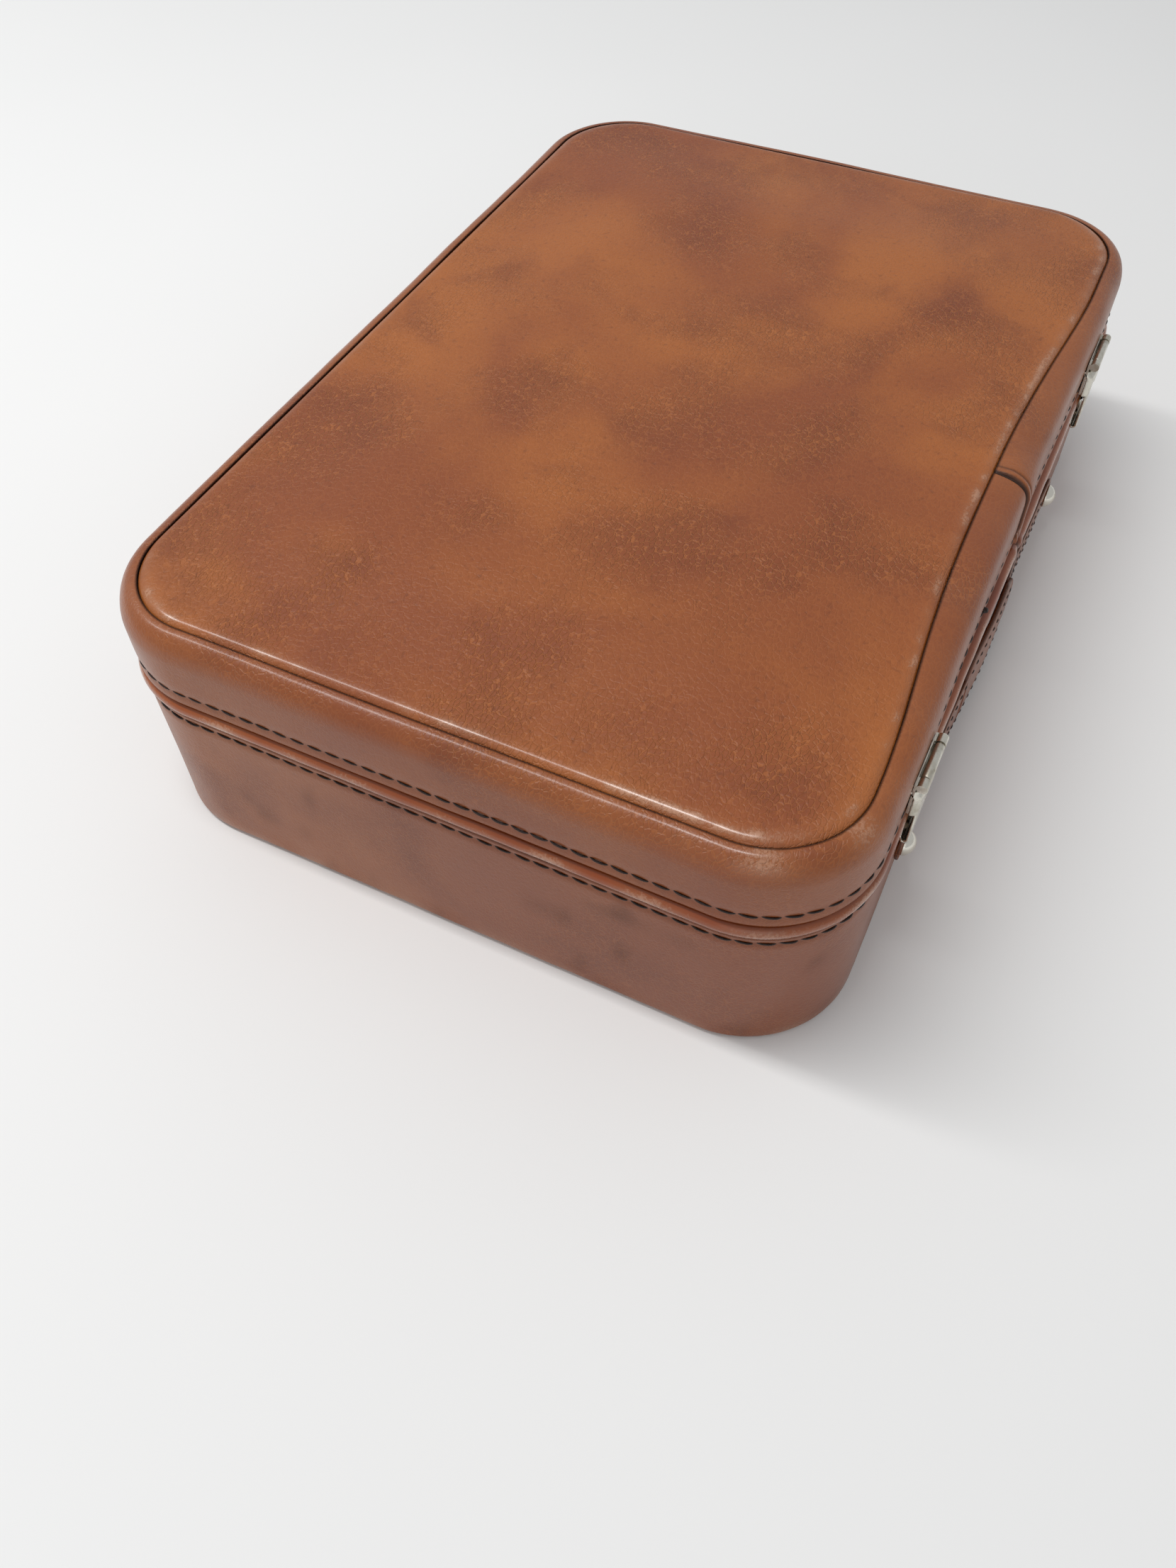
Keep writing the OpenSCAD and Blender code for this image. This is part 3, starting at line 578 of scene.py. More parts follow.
def lid_band():
    wall = ((1.3, 0.9), (0.5, 0.15), (0.15, 0.5), (0.05, 1.2), (0.25, 2.4), (0.55, 3.6), (0.75, 4.5),
            (0.5, 5.6), (0.25, 7.2), (0.2, 9.5), (0.2, 12.5), (0.2, 15.5))
    profile = [(depth * MM, LID_LOW + rise * MM) for depth, rise in wall]
    profile += arc(0.2 * MM + ROLL_IN, RIM - ROLL_DOWN, -ROLL_IN, ROLL_DOWN, 0, 97, 13)
    tuck = ((-0.25, 0.45), (0.05, 1.3), (0.1, 3.0))
    profile += [(GROOVE + depth * MM, RIM - drop * MM) for depth, drop in tuck]
    rub, grime, tight = [], [], []

    def shape(x, y, out, depth, z):
        sag = 0.35 * MM * wobble(x, y, z, 22, 3.1) + 0.12 * MM * wobble(x, y, z, 90, 8.0)
        share = smooth(depth, 0.5 * MM, GROOVE)
        lap = lap_height(x, out[1])
        past = x - LAP_X
        front = out[1] < -0.5
        crease = math.exp(-((past - 3.0 * MM) / (0.6 * MM)) ** 2) if front else 0.0
        lapped = front and z > LID_SEAM - 1 * MM
        joint = math.exp(-(abs(past + 0.15 * MM) / (0.85 * MM)) ** 4) if lapped else 0.0
        d = depth + sag * (1 - 0.5 * share) + waist(x, out[1]) + share * groove_bow(x, out[1])
        top = smooth(z, RIM - ROLL_DOWN, RIM)
        d -= LAP_STEP * lap * (1 - top) - 0.5 * MM * crease * (1 - top) - 0.9 * MM * joint * (1 - top)
        over = LAP_STEP * lap - 0.45 * MM * crease - 0.9 * MM * joint
        h = z + over * top * (1 - 0.6 * smooth(depth, 5.5 * MM, GROOVE))
        h -= 0.5 * MM * top * (0.5 + wobble(x, y, 0, 14, 5.7))
        # The rolled edge is paler and shinier: wear, with painted highlight along the roll, strongest at the
        # near end's corner.
        rolled = smooth(z, RIM - 7 * MM, RIM - 1 * MM)
        near_end_wear_and_highlight = smooth(-x, HALF_L - 60 * MM, HALF_L - 20 * MM) * smooth(-y, 40 * MM, 110 * MM)
        patch = 0.45 + 0.9 * wobble(x, y, z, 60, 1.3)
        rub.append(max(0.0, min(1.0, rolled * (0.16 + 0.5 * near_end_wear_and_highlight) * patch * 1.3)))
        # Darkened: painted shade in the groove and along the lid's lower edge over the welt, a faint line at
        # the stitches, and the lap's dark cut edge and pressed crease.
        in_groove = smooth(depth, GROOVE - 0.45 * MM, GROOVE + 0.05 * MM)
        at_stitch = 0.15 * math.exp(-((z - LID_SEAM) / (0.8 * MM)) ** 2) if depth < 2 * MM else 0
        foot = 0.8 * (1 - smooth(z, LID_LOW, LID_LOW + 0.5 * MM))
        grime.append(max(in_groove, at_stitch, foot, joint, 0.6 * crease))
        tight.append(0.5 - 0.3 * rolled)
        return max(0.0, d), min(h, RIM - 0.05 * MM)

    verts, faces = carry(profile, shape=shape)
    return new_piece("lid_band_leather", verts, faces, BAND, "lid", "leather", ("lid_band",),
                     {"rub": rub, "grime": grime, "tight": tight})


lid_leather = lid_band()
print("lid band:", len(lid_leather.data.polygons), "faces")

# %% [markdown]
# ## The padded top
# The top panel is a piece of hide over thin felt, tucked into the groove, so it stands up from the
# groove in a short round edge and then climbs gently to a crown. Rings run from the groove to a
# spine along the middle of the lid; the soft unevenness of felt comes from low, slow noise.

# %% Top panel
SPINE = HALF_L - HALF_W


def top_panel():
    cuts = [0, 0.25, 0.6, 1.1, 1.8, 2.6, 3.6, 5.0, 6.8, 9.0, 11.5, 14.5, 18]
    cuts += list(np.arange(22, 119, 4)) + [120.5]
    rings = len(cuts)
    verts, faces, rub, grime, tight = [], [], [], [], []
    reach = HALF_W - GROOVE
    for x, y, ox, oy in WALK:
        sx = max(-SPINE, min(SPINE, x * SPINE / (HALF_L - 8 * MM)))
        bow = groove_bow(x, oy) + waist(x, oy)
        ex, ey = x - ox * (GROOVE + 0.15 * MM + bow), y - oy * (GROOVE + 0.15 * MM + bow)
        for cut in cuts:
            t = min(1.0, cut * MM / reach)
            px, py = ex + (sx - ex) * t, ey + (0 - ey) * t
            edge = math.sqrt(1 - (1 - min(1.0, cut / 4.2)) ** 2)
            crown = smooth(cut, 1.5, 70)
            z = RIM - 2.4 * MM + 3.4 * MM * edge + (CROWN - RIM - 1.1 * MM) * crown
            swell = 0.9 * MM * wobble(px, py, 0, 11, 2.2) + 0.22 * MM * wobble(px, py, 0, 48, 6.1)
            z += swell * smooth(cut, 1, 30)
            verts.append((px, py, min(z, CROWN - 0.05 * MM)))
            # The ridge by the groove is paler: wear, and painted highlight that is strong on the front and
            # the near end and weak elsewhere.
            ridge = math.exp(-((cut - 2.6) / 1.9) ** 2)
            patch = max(0.0, 0.22 + 0.7 * wobble(px, py, 0, 34, 4.4) + 0.7 * wobble(px, py, 0, 190, 9.0))
            rub.append(min(1.0, ridge * (patch + 0.25) * (0.95 if oy < -0.3 or ox < -0.3 else 0.4)))
            # Painted shade where the panel dips into the groove.
            grime.append(1 - smooth(cut, 0.05, 0.6))
            tight.append(0.4 * math.exp(-((cut - 2.0) / 2.5) ** 2))
    n = len(WALK)
    for i in range(n):
        j = (i + 1) % n
        for k in range(rings - 1):
            faces.append((i * rings + k, j * rings + k, j * rings + k + 1, i * rings + k + 1))
    piece = new_piece("top_panel_leather", verts, faces, COVER, "lid", "leather", ("lid_top_panel",),
                      {"rub": rub, "grime": grime, "tight": tight})
    clean(piece, 0.05 * MM, fill=lambda e: e.is_boundary and abs(e.verts[0].co.y) < 20 * MM)
    piece.data.shade_smooth()
    return piece


panel = top_panel()
print("top panel:", len(panel.data.polygons), "faces")

# %% [markdown]
# ## The base
# The base has its own band, turned under at the foot, and a separate bottom. A cord wrapped in leather,
# the welt, closes the joint between leather and board round the top edge.

# %% Base band, bottom and welt
def base_band():
    foot = 2.4 * MM
    profile = [(foot + 0.8 * MM, 0.05 * MM)] + arc(foot, foot, -foot, -foot, 90, 0, 7)
    heights = [6, 12, 20, 28, 36, 44, 50, 54.5, 56.6, 58]
    profile += [(0.15 * MM, h * MM) for h in heights]
    profile += [(0.5 * MM, 59.2 * MM), (0.75 * MM, 60 * MM), (0.5 * MM, 60.8 * MM), (0.2 * MM, 61.8 * MM)]
    profile += [(0.25 * MM, 62.7 * MM), (0.9 * MM, BAND_TOP + 0.3 * MM)]
    rub, grime, tight = [], [], []

    def shape(x, y, out, depth, z):
        sag = 0.3 * MM * wobble(x, y, z, 18, 12.1) + 0.1 * MM * wobble(x, y, z, 80, 4.0)
        lap = lap_height(x - 6 * MM, out[1])
        d = depth + abs(sag) + base_waist(x, out[1]) - 0.7 * MM * lap
        foot_rub = 1 - smooth(z, 0, 9 * MM)
        rub.append(max(0.0, foot_rub * (0.25 + 0.9 * wobble(x, y, z, 60, 2.0))))
        at_stitch = 0.25 * math.exp(-((z - BASE_SEAM) / (0.8 * MM)) ** 2)
        scuff = max(0.0, wobble(x, y, z, 70, 17.0) - 0.35) * smooth(-x, HALF_L - 50 * MM, HALF_L)
        # Darkened: a faint line at the stitches, dark scuffs at the near end, and painted shade at the top of
        # the band, under the welt.
        grime.append(max(at_stitch, smooth(z, 62.4 * MM, BAND_TOP), 0.9 * scuff))
        tight.append(0.5)
        return max(0.0, d), z

    verts, faces = carry(profile, shape=shape)
    return new_piece("base_band_leather", verts, faces, BAND, "base", "leather", ("base_band",),
                     {"rub": rub, "grime": grime, "tight": tight})


def base_bottom():
    verts, faces = [], []
    cuts = [2.0, 6, 20, 60, 100, 127]
    for x, y, ox, oy in WALK:
        sx = max(-SPINE, min(SPINE, x))
        ex, ey = x - ox * 2.0 * MM, y - oy * 2.0 * MM
        for cut in cuts:
            t = (cut - 2.0) / 125
            verts.append((ex + (sx - ex) * t, ey * (1 - t), 0.02 * MM))
    n, rings = len(WALK), len(cuts)
    for i in range(n):
        j = (i + 1) % n
        for k in range(rings - 1):
            faces.append((i * rings + k, i * rings + k + 1, j * rings + k + 1, j * rings + k))
    piece = new_piece("base_bottom_leather", verts, faces, BAND, "base", "leather", ("base_bottom",))
    clean(piece, 0.05 * MM, turn_out=False)
    return piece


def base_welt():
    radius, depth = 2.75 * MM, 1.75 * MM
    middle = BAND_TOP + 3.05 * MM
    profile = arc(depth, middle, -radius, radius, -90, 270, 18)[:-1]
    rub, grime, tight = [], [], []

    def shape(x, y, out, d, z):
        front = out[1] < -0.5
        past = x - LAP_X - 4 * MM
        pinch = 0.8 * MM * math.exp(-(past / (1.2 * MM)) ** 2) if front else 0.0
        fade = math.exp(-(past / (6 * MM)) ** 2) if front else 0.0
        ripple = 0.35 * MM * math.sin(past / (1.3 * MM)) * fade
        swell = 0.18 * MM * wobble(x, y, 0, 70, 7.7) + 0.25 * MM * wobble(x, y, 0, 16, 3.0) - pinch + ripple
        scale = 1 + swell / radius
        nd, nz = depth + (d - depth) * scale, middle + (z - middle) * min(scale, 1.03)
        # The outer side of the welt is paler and shinier: wear, and painted glints.
        facing = smooth(depth - d, 0.2 * radius, radius)
        rub.append(max(0.0, facing * (0.5 + 0.8 * wobble(x, y, 0, 60, 1.1))))
        low_side = smooth(middle - z, 0.75 * radius, radius)
        nick = math.exp(-((x - NICK_X) / (0.8 * MM)) ** 2) if front else 0.0
        nick *= smooth(middle - z, -1.6 * MM, 0)
        # Darkened: painted shade on the welt's underside and in its pinch at the lap, and a dark nick.
        grime.append(max(low_side * 0.8, 0.8 * min(1.0, pinch / (0.8 * MM)), 0.9 * nick))
        tight.append(0.85)
        return nd - (0.25 * MM * hump(x, 10 * MM, 80 * MM) if front else 0.0), nz

    verts, faces = carry(profile, shape=shape, closed=True)
    return new_piece("base_welt_leather", verts, faces, WELT, "base", "welt_leather", ("base_welt",),
                     {"rub": rub, "grime": grime, "tight": tight})


for made in (base_band(), base_bottom(), base_welt()):
    print(made.name, len(made.data.polygons), "faces")

# %% [markdown]
# ## Stitches
# Saddle stitch: two needles and one waxed thread, so each stitch is a short slanted bar that dives
# into an awl hole at both ends. A Geometry Nodes tree walks the seam line, cuts it into steps of one
# stitch and sets on each a bar whose ends dive in. The same tree sews the lid, the base, the handle
# and the quilted pad.


# %% The stitching tree
def stitch_tree():
    tree = bpy.data.node_groups.new("saddle_stitch", "GeometryNodeTree")
    sockets = (("Geometry", "Geometry"), ("Pitch", "Float"), ("Length", "Float"), ("Thickness", "Float"),
               ("Slant", "Float"), ("Thread", "Material"))
    for name, kind in sockets:
        tree.interface.new_socket(name, in_out="INPUT", socket_type="NodeSocket" + kind)
    tree.interface.new_socket("Geometry", in_out="OUTPUT", socket_type="NodeSocketGeometry")

    def add(kind, settings=None, **inputs):
        made = tree.nodes.new(kind)
        for key, value in (settings or {}).items():
            setattr(made, key, value)
        for key, value in inputs.items():
            slot = made.inputs[key.replace("_", " ")]
            if hasattr(value, "is_output"):
                tree.links.new(value, slot)
            else:
                slot.default_value = value
        return made

    def maths(operation, *values):
        made = add("ShaderNodeMath", {"operation": operation})
        for slot, value in zip(made.inputs, values):
            if hasattr(value, "is_output"):
                tree.links.new(value, slot)
            else:
                slot.default_value = value
        return made.outputs[0]

    given = add("NodeGroupInput").outputs
    line = add("GeometryNodeMeshToCurve", Mesh=given["Geometry"]).outputs[0]
    steps = add("GeometryNodeResampleCurve", {"mode": "LENGTH"}, Curve=line, Length=given["Pitch"]).outputs[0]
    along = add("GeometryNodeInputTangent").outputs[0]
    axes = {"axis": "X", "pivot_axis": "Z"}
    upright = add("FunctionNodeAlignRotationToVector", axes, Vector=along).outputs[0]
    thread = add("GeometryNodeCurvePrimitiveLine", Start=(-0.5, 0, 0), End=(0.5, 0, 0)).outputs[0]
    thread = add("GeometryNodeResampleCurve", {"mode": "COUNT"}, Curve=thread, Count=9).outputs[0]
    at = add("ShaderNodeSeparateXYZ", Vector=add("GeometryNodeInputPosition").outputs[0]).outputs[0]
    dive = maths("MULTIPLY", maths("POWER", maths("ABSOLUTE", at), 3.0), 9.0)
    offset = add("ShaderNodeCombineXYZ", Y=dive).outputs[0]
    scaled = add("ShaderNodeVectorMath", {"operation": "SCALE"}, Vector=offset, Scale=given["Thickness"])
    size = add("ShaderNodeCombineXYZ", X=given["Length"], Y=1.0, Z=1.0).outputs[0]
    shaped = add("GeometryNodeSetPosition", Geometry=thread, Offset=scaled.outputs[0]).outputs[0]
    stretched = add("GeometryNodeTransform", Geometry=shaped, Scale=size).outputs[0]
    half = maths("MULTIPLY", given["Thickness"], 0.5)
    ring = add("GeometryNodeCurvePrimitiveCircle", Resolution=8, Radius=half).outputs[0]
    bar = add("GeometryNodeCurveToMesh", Curve=stretched, Profile_Curve=ring, Fill_Caps=True).outputs[0]
    bar = add("GeometryNodeSetShadeSmooth", Geometry=bar).outputs[0]
    slant = add("ShaderNodeCombineXYZ", Y=given["Slant"]).outputs[0]
    jitter = add("FunctionNodeRandomValue", {"data_type": "FLOAT_VECTOR"}, Seed=4)
    jitter.inputs["Min"].default_value = (-0.05, -0.06, -0.03)
    jitter.inputs["Max"].default_value = (0.05, 0.06, 0.03)
    spread = add("ShaderNodeVectorMath", {"operation": "ADD"})
    tree.links.new(slant, spread.inputs[0])
    tree.links.new(jitter.outputs[0], spread.inputs[1])
    turned = add("FunctionNodeRotateRotation", {"rotation_space": "LOCAL"}, Rotation=upright,
                 Rotate_By=spread.outputs[0]).outputs[0]
    sewn = add("GeometryNodeInstanceOnPoints", Points=steps, Instance=bar, Rotation=turned).outputs[0]
    solid = add("GeometryNodeRealizeInstances", Geometry=sewn).outputs[0]
    done = add("GeometryNodeSetMaterial", Geometry=solid, Material=given["Thread"]).outputs[0]
    tree.links.new(done, add("NodeGroupOutput").inputs[0])
    return tree


STITCH = stitch_tree()


def sew(name, points, body, closed=True, pitch=6.5 * MM, length=5.9 * MM, thickness=0.72 * MM,
        slant=0.13, material=None, slot="leather"):
    """Stitches along a line of points that runs with the wall's outside on its right hand."""
    mesh = bpy.data.meshes.new(name)
    edges = [(i, i + 1) for i in range(len(points) - 1)]
    if closed:
        edges.append((len(points) - 1, 0))
    mesh.from_pydata(points, edges, [])
    seam = bpy.data.objects.new(name, mesh)
    bpy.context.scene.collection.objects.link(seam)
    tool = seam.modifiers.new("stitch", "NODES")
    tool.node_group = STITCH
    values = {"Pitch": pitch, "Length": length, "Thickness": thickness, "Slant": slant,
              "Thread": material or THREAD}
    for item in STITCH.interface.items_tree:
        if item.item_type == "SOCKET" and item.in_out == "INPUT" and item.name in values:
            tool[item.identifier] = values[item.name]
    sewn = bpy.data.meshes.new_from_object(seam.evaluated_get(bpy.context.evaluated_depsgraph_get()))
    bpy.data.objects.remove(seam)
    piece = bpy.data.objects.new(name, sewn)
    bpy.context.scene.collection.objects.link(piece)
    settle(piece, body, slot)
    return piece


def seam_line(z, depth, drawn_in, seed):
    line = []
    for x, y, ox, oy in WALK:
        sag = 0.3 * MM * wobble(x, y, z, 18, seed)
        d = depth + drawn_in(x, oy) + abs(sag) * 0.3
        line.append((x - ox * d, y - oy * d, z + 0.25 * MM * wobble(x, y, 0, 30, seed + 2)))
    return line


lid_seam = sew("lid_stitches", seam_line(LID_SEAM, 0.35 * MM, waist, 3.0), "lid")
base_seam = sew("base_stitches", seam_line(BASE_SEAM, 0.45 * MM, base_waist, 12.0), "base")


def thread_knot():
    """Where the lid's thread is tied off: a small waxed lump on the seam."""
    bm = bmesh.new()
    bmesh.ops.create_icosphere(bm, subdivisions=3, radius=1.05 * MM)
    place = Vector((KNOT_X, waist(KNOT_X, -1) - HALF_W - 0.15 * MM, LID_SEAM + 0.1 * MM))
    verts = [v.co * (1 + 0.5 * wobble(*v.co, 900, 5.0)) + place for v in bm.verts]
    faces = [tuple(v.index for v in face.verts) for face in bm.faces]
    bm.free()
    return new_piece("thread_knot", verts, faces, THREAD, "lid", "leather")


thread_knot()
print("stitches:", len(lid_seam.data.polygons) + len(base_seam.data.polygons), "faces")

# %% [markdown]
# ## Latches
# Each latch is a stamped cover that hangs from a pin on the lid, and a hook on the base that stands
# open upwards and ends in a round curl. The cover is cut from sheet with pointed shoulders, its
# middle is raised by a die, and its edges are bent back towards the wall.


# %% Sheet-metal helpers
def ease_edges(piece, bevel, angle=35):
    """Rounds every edge sharper than angle."""
    tool = piece.modifiers.new("bevel", "BEVEL")
    tool.width, tool.segments, tool.limit_method = bevel, 2, "ANGLE"
    tool.angle_limit = math.radians(angle)
    bake(piece)
    piece.data.shade_smooth()


def surface_piece(name, columns, rows, point, thickness, finish, body, slot, replaces):
    """A bent sheet: point(u, v) gives the outer face for u and v from 0 to 1, and thickness goes in (+Y)."""
    verts, faces = [], []
    for layer in (0, 1):
        for i in range(columns + 1):
            for j in range(rows + 1):
                x, y, z = point(i / columns, j / rows)
                verts.append((x, y + layer * thickness, z))
    n = (columns + 1) * (rows + 1)

    def at(layer, i, j):
        return layer * n + i * (rows + 1) + j

    for i in range(columns):
        for j in range(rows):
            quad = (at(0, i, j), at(0, i + 1, j), at(0, i + 1, j + 1), at(0, i, j + 1))
            faces += [quad, tuple(v + n for v in reversed(quad))]
    for i in range(columns):
        faces += [(at(0, i + 1, 0), at(0, i, 0), at(1, i, 0), at(1, i + 1, 0)),
                  (at(0, i, rows), at(0, i + 1, rows), at(1, i + 1, rows), at(1, i, rows))]
    for j in range(rows):
        faces += [(at(0, 0, j), at(0, 0, j + 1), at(1, 0, j + 1), at(1, 0, j)),
                  (at(0, columns, j + 1), at(0, columns, j), at(1, columns, j), at(1, columns, j + 1))]
    piece = new_piece(name, verts, faces, finish, body, slot, replaces)
    ease_edges(piece, 0.2 * MM)
    return piece


# %% Latch covers and hooks
HOOK_HALF, KNUCKLE_HALF = 9.5 * MM, 7.1 * MM


def latch_cover(word):
    low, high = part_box("latch_hasp_" + word)
    middle, half = (low.x + high.x) / 2, (high.x - low.x) / 2
    top = high.z - 0.2 * MM
    out, wall = low.y + 1.25 * MM, -HALF_W

    def point(u, v):
        across = 2 * u - 1
        ease = abs(across)
        shoulder = 3.6 * MM * smooth(ease, 0.45, 0.95)
        upper = top - 0.6 * MM - shoulder
        z = low.z + (upper - low.z) * v
        x = middle + half * across
        bend = smooth(ease, 0.90, 1.0) ** 1.5
        raised = 0.55 * MM * (1 - smooth(ease, 0.30, 0.42))
        raised *= smooth(v, 0.12, 0.24) * (1 - smooth(v, 0.62, 0.74))
        rib = 0.30 * MM * smooth(ease, 0.55, 0.62) * (1 - smooth(ease, 0.74, 0.82))
        rib *= 1 - smooth(v, 0.80, 0.9)
        lift = 1.7 * MM * smooth(v, 0.72, 1.0)
        return x, out - raised - rib + lift + bend * 1.7 * MM, z

    cover = surface_piece("latch_cover_" + word, 44, 22, point, 0.75 * MM, NICKEL, "latch_" + word,
                          "nickel", ("latch_hasp_" + word,))
    pin_z, pin_y = high.z - 1.7 * MM, wall - 2.4 * MM
    ends = ((middle + reach, pin_y, pin_z) for reach in (-KNUCKLE_HALF, KNUCKLE_HALF))
    knuckle = tube("latch_knuckle_" + word, *ends, 1.65 * MM, NICKEL, "latch_" + word, "nickel")
    return cover, knuckle


def tube(name, start, end, radius, finish, body, slot):
    """A plain turned rod with eased ends."""
    sides, ease = 28, 0.35 * MM
    a, b = Vector(start), Vector(end)
    axis = (b - a).normalized()
    side = axis.orthogonal().normalized()
    up = axis.cross(side)
    stations = [(0, radius - ease), (ease * 0.35, radius - ease * 0.3), (ease, radius)]
    span = (b - a).length
    stations += [(span - d, r) for d, r in reversed(stations)]
    verts, faces = [a], []
    for d, r in stations:
        for i in range(sides):
            angle = 2 * math.pi * i / sides
            verts.append(a + axis * d + side * r * math.cos(angle) + up * r * math.sin(angle))
    verts.append(b)
    rings = len(stations)
    for k in range(rings - 1):
        for i in range(sides):
            j = (i + 1) % sides
            near, far = 1 + k * sides, 1 + (k + 1) * sides
            faces.append((near + i, near + j, far + j, far + i))
    last, outer = len(verts) - 1, 1 + (rings - 1) * sides
    for i in range(sides):
        j = (i + 1) % sides
        faces += [(0, 1 + j, 1 + i), (last, outer + i, outer + j)]
    return new_piece(name, verts, faces, finish, body, slot)


def latch_hooks():
    low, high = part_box("latch_catches")
    wall = -HALF_W
    curl = (wall - low.y) / 2
    foot = low.z + curl
    for side, word in ((-1, "left"), (1, "right")):
        middle = (low.x + HOOK_HALF) if side < 0 else (high.x - HOOK_HALF)
        path = [(wall - 0.4 * MM, foot + 6.6 * MM)]
        path += [(wall - curl + (curl - 0.4 * MM) * math.cos(a), foot - (curl - 0.4 * MM) * math.sin(a))
                 for a in np.linspace(0, math.pi, 14)]
        path += [(low.y + 0.4 * MM, foot + d * MM) for d in (2, 4, 6, 8, 10)]
        path += [(low.y + 0.55 * MM, high.z - 0.8 * MM), (low.y + 1.0 * MM, high.z - 0.1 * MM)]

        def point(u, v, middle=middle, path=path):
            place = v * (len(path) - 1)
            k = min(int(place), len(path) - 2)
            t = place - k
            y, z = (path[k][m] * (1 - t) + path[k + 1][m] * t for m in (0, 1))
            across = 2 * u - 1
            narrow = 1 - 0.10 * smooth(v, 0.3, 0.05) - 0.12 * smooth(v, 0.8, 1.0)
            return middle + HOOK_HALF * across * narrow, y, z

        bent_strip("latch_hook_" + word, 16, 44, point, 0.8 * MM)


def bent_strip(name, columns, rows, point, thickness):
    verts = [point(i / columns, j / rows) for i in range(columns + 1) for j in range(rows + 1)]
    faces = []
    for i in range(columns):
        for j in range(rows):
            a = i * (rows + 1) + j
            faces.append((a, a + 1, a + rows + 2, a + rows + 1))
    piece = new_piece(name, verts, faces, NICKEL, "base", "nickel", ("latch_catches",))
    tool = piece.modifiers.new("sheet", "SOLIDIFY")
    tool.thickness, tool.offset = thickness, 0
    ease_edges(piece, 0.18 * MM)


for word in ("left", "right"):
    print([p.name for p in latch_cover(word)])
latch_hooks()
print("hooks made")

# %% [markdown]
# ## Dome studs
# A stud is turned on a lathe, so it is a profile spun round its own axis: a shank through the wall and
# half a ball that clamps the end of the strap.


# %% Turned parts
def turned(name, profile, centre, axis, finish, body, slot, sides, replaces):
    """Spins (radius, distance along the axis) pairs round an axis through centre."""
    axis = Vector(axis).normalized()
    side = axis.orthogonal().normalized()
    up = axis.cross(side)
    verts, faces, centre = [], [], Vector(centre)
    for r, d in profile:
        for i in range(sides):
            a = 2 * math.pi * i / sides
            verts.append(centre + axis * d + (side * math.cos(a) + up * math.sin(a)) * r)
    for k in range(len(profile) - 1):
        for i in range(sides):
            j = (i + 1) % sides
            faces.append((k * sides + i, k * sides + j, (k + 1) * sides + j, (k + 1) * sides + i))
    piece = new_piece(name, verts, faces, finish, body, slot, replaces)
    clean(piece, 1e-6)
    piece.data.shade_smooth()
    return piece


def studs():
    low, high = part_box("handle_studs")
    ball = (high.z - low.z) / 2
    stud_x, stud_z = high.x - ball, (low.z + high.z) / 2
    for side, word in ((-1, "left"), (1, "right")):
        wall = low.y + ball + base_waist(side * stud_x, -1)
        profile = [(0, -3 * MM), (2 * MM, -3 * MM), (2.1 * MM, 0.9 * MM), (ball - 0.9 * MM, 1.0 * MM),
                   (ball - 0.2 * MM, 1.3 * MM)]
        profile += [(ball * math.cos(a), ball * math.sin(a)) for a in np.linspace(0.33, math.pi / 2, 18)]
        turned("handle_stud_" + word, profile, (side * stud_x, wall, stud_z), (0, -1, 0), DOME, "base",
               "nickel", 56, ("handle_studs",))
    return stud_x, stud_z


STUD_X, STUD_Z = studs()
print("studs at", round(STUD_X / MM), "mm")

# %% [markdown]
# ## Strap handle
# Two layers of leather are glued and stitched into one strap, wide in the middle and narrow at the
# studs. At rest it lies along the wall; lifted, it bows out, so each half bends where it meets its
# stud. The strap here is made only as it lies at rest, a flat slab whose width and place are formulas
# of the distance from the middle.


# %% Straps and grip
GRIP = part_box("handle_grip")
GRIP_END = GRIP[1].x
STRAP_END = min(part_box("handle_end_right")[1].x, STUD_X + 6.2 * MM)


def strap_width(x):
    """Half the width of the strap at a distance x from the middle."""
    wide, narrow = (GRIP[1].z - GRIP[0].z) / 2 - 3 * MM, 7.8 * MM
    t = smooth(abs(x), GRIP_END - 2 * MM, 52 * MM)
    width = wide + (narrow - wide) * t
    beyond = abs(x) - STUD_X
    if beyond > 0:
        width = math.sqrt(max(0.0, 1 - (beyond / (STRAP_END - STUD_X)) ** 2)) * narrow
    return max(width, 0.2 * MM)


def slab(name, x0, x1, centre_y, half_t, width, finish, body, replaces, count=60, crown=0.0):
    """A flat bar of leather with round edges, from x0 to x1."""
    ring = [(math.sin(a), math.cos(a)) for a in np.linspace(0, 2 * math.pi, 41)[:-1]]
    verts, faces, rub, grime, tight = [], [], [], [], []
    for i in range(count + 1):
        x = x0 + (x1 - x0) * i / count
        w = width(x)
        for s, c in ring:
            v = math.copysign(abs(s) ** 0.35, s)
            h = math.copysign(abs(c) ** 0.55, c)
            fat = half_t * (1 + crown * (1 - v * v))
            y = centre_y(x) - h * fat
            verts.append((x, y, STUD_Z + w * v))
            edge = smooth(abs(v), 0.86, 1.0)
            rub.append(0.35 * edge + (0.25 if h > 0 else 0) * max(0, wobble(x, 0, v * w, 70, 3)))
            grime.append(0.75 * edge * (1 - abs(h)) + 0.2 * math.exp(-((abs(v) - 0.8) / 0.05) ** 2))
            tight.append(0.5)
    n = len(ring)
    for i in range(count):
        for k in range(n):
            m = (k + 1) % n
            faces.append((i * n + k, i * n + m, (i + 1) * n + m, (i + 1) * n + k))
    faces += [tuple(range(n)), tuple(count * n + k for k in reversed(range(n)))]
    piece = new_piece(name, verts, faces, finish, body, "leather", replaces,
                      {"rub": rub, "grime": grime, "tight": tight})
    clean(piece)
    return piece


def strap_y(x):
    """The strap's middle plane: on the wall at the studs, bowed out at the grip."""
    at_wall = -HALF_W - 0.7 * MM + base_waist(x, -1)
    return at_wall - 1.0 * MM * (1 - smooth(abs(x), 24 * MM, 50 * MM))


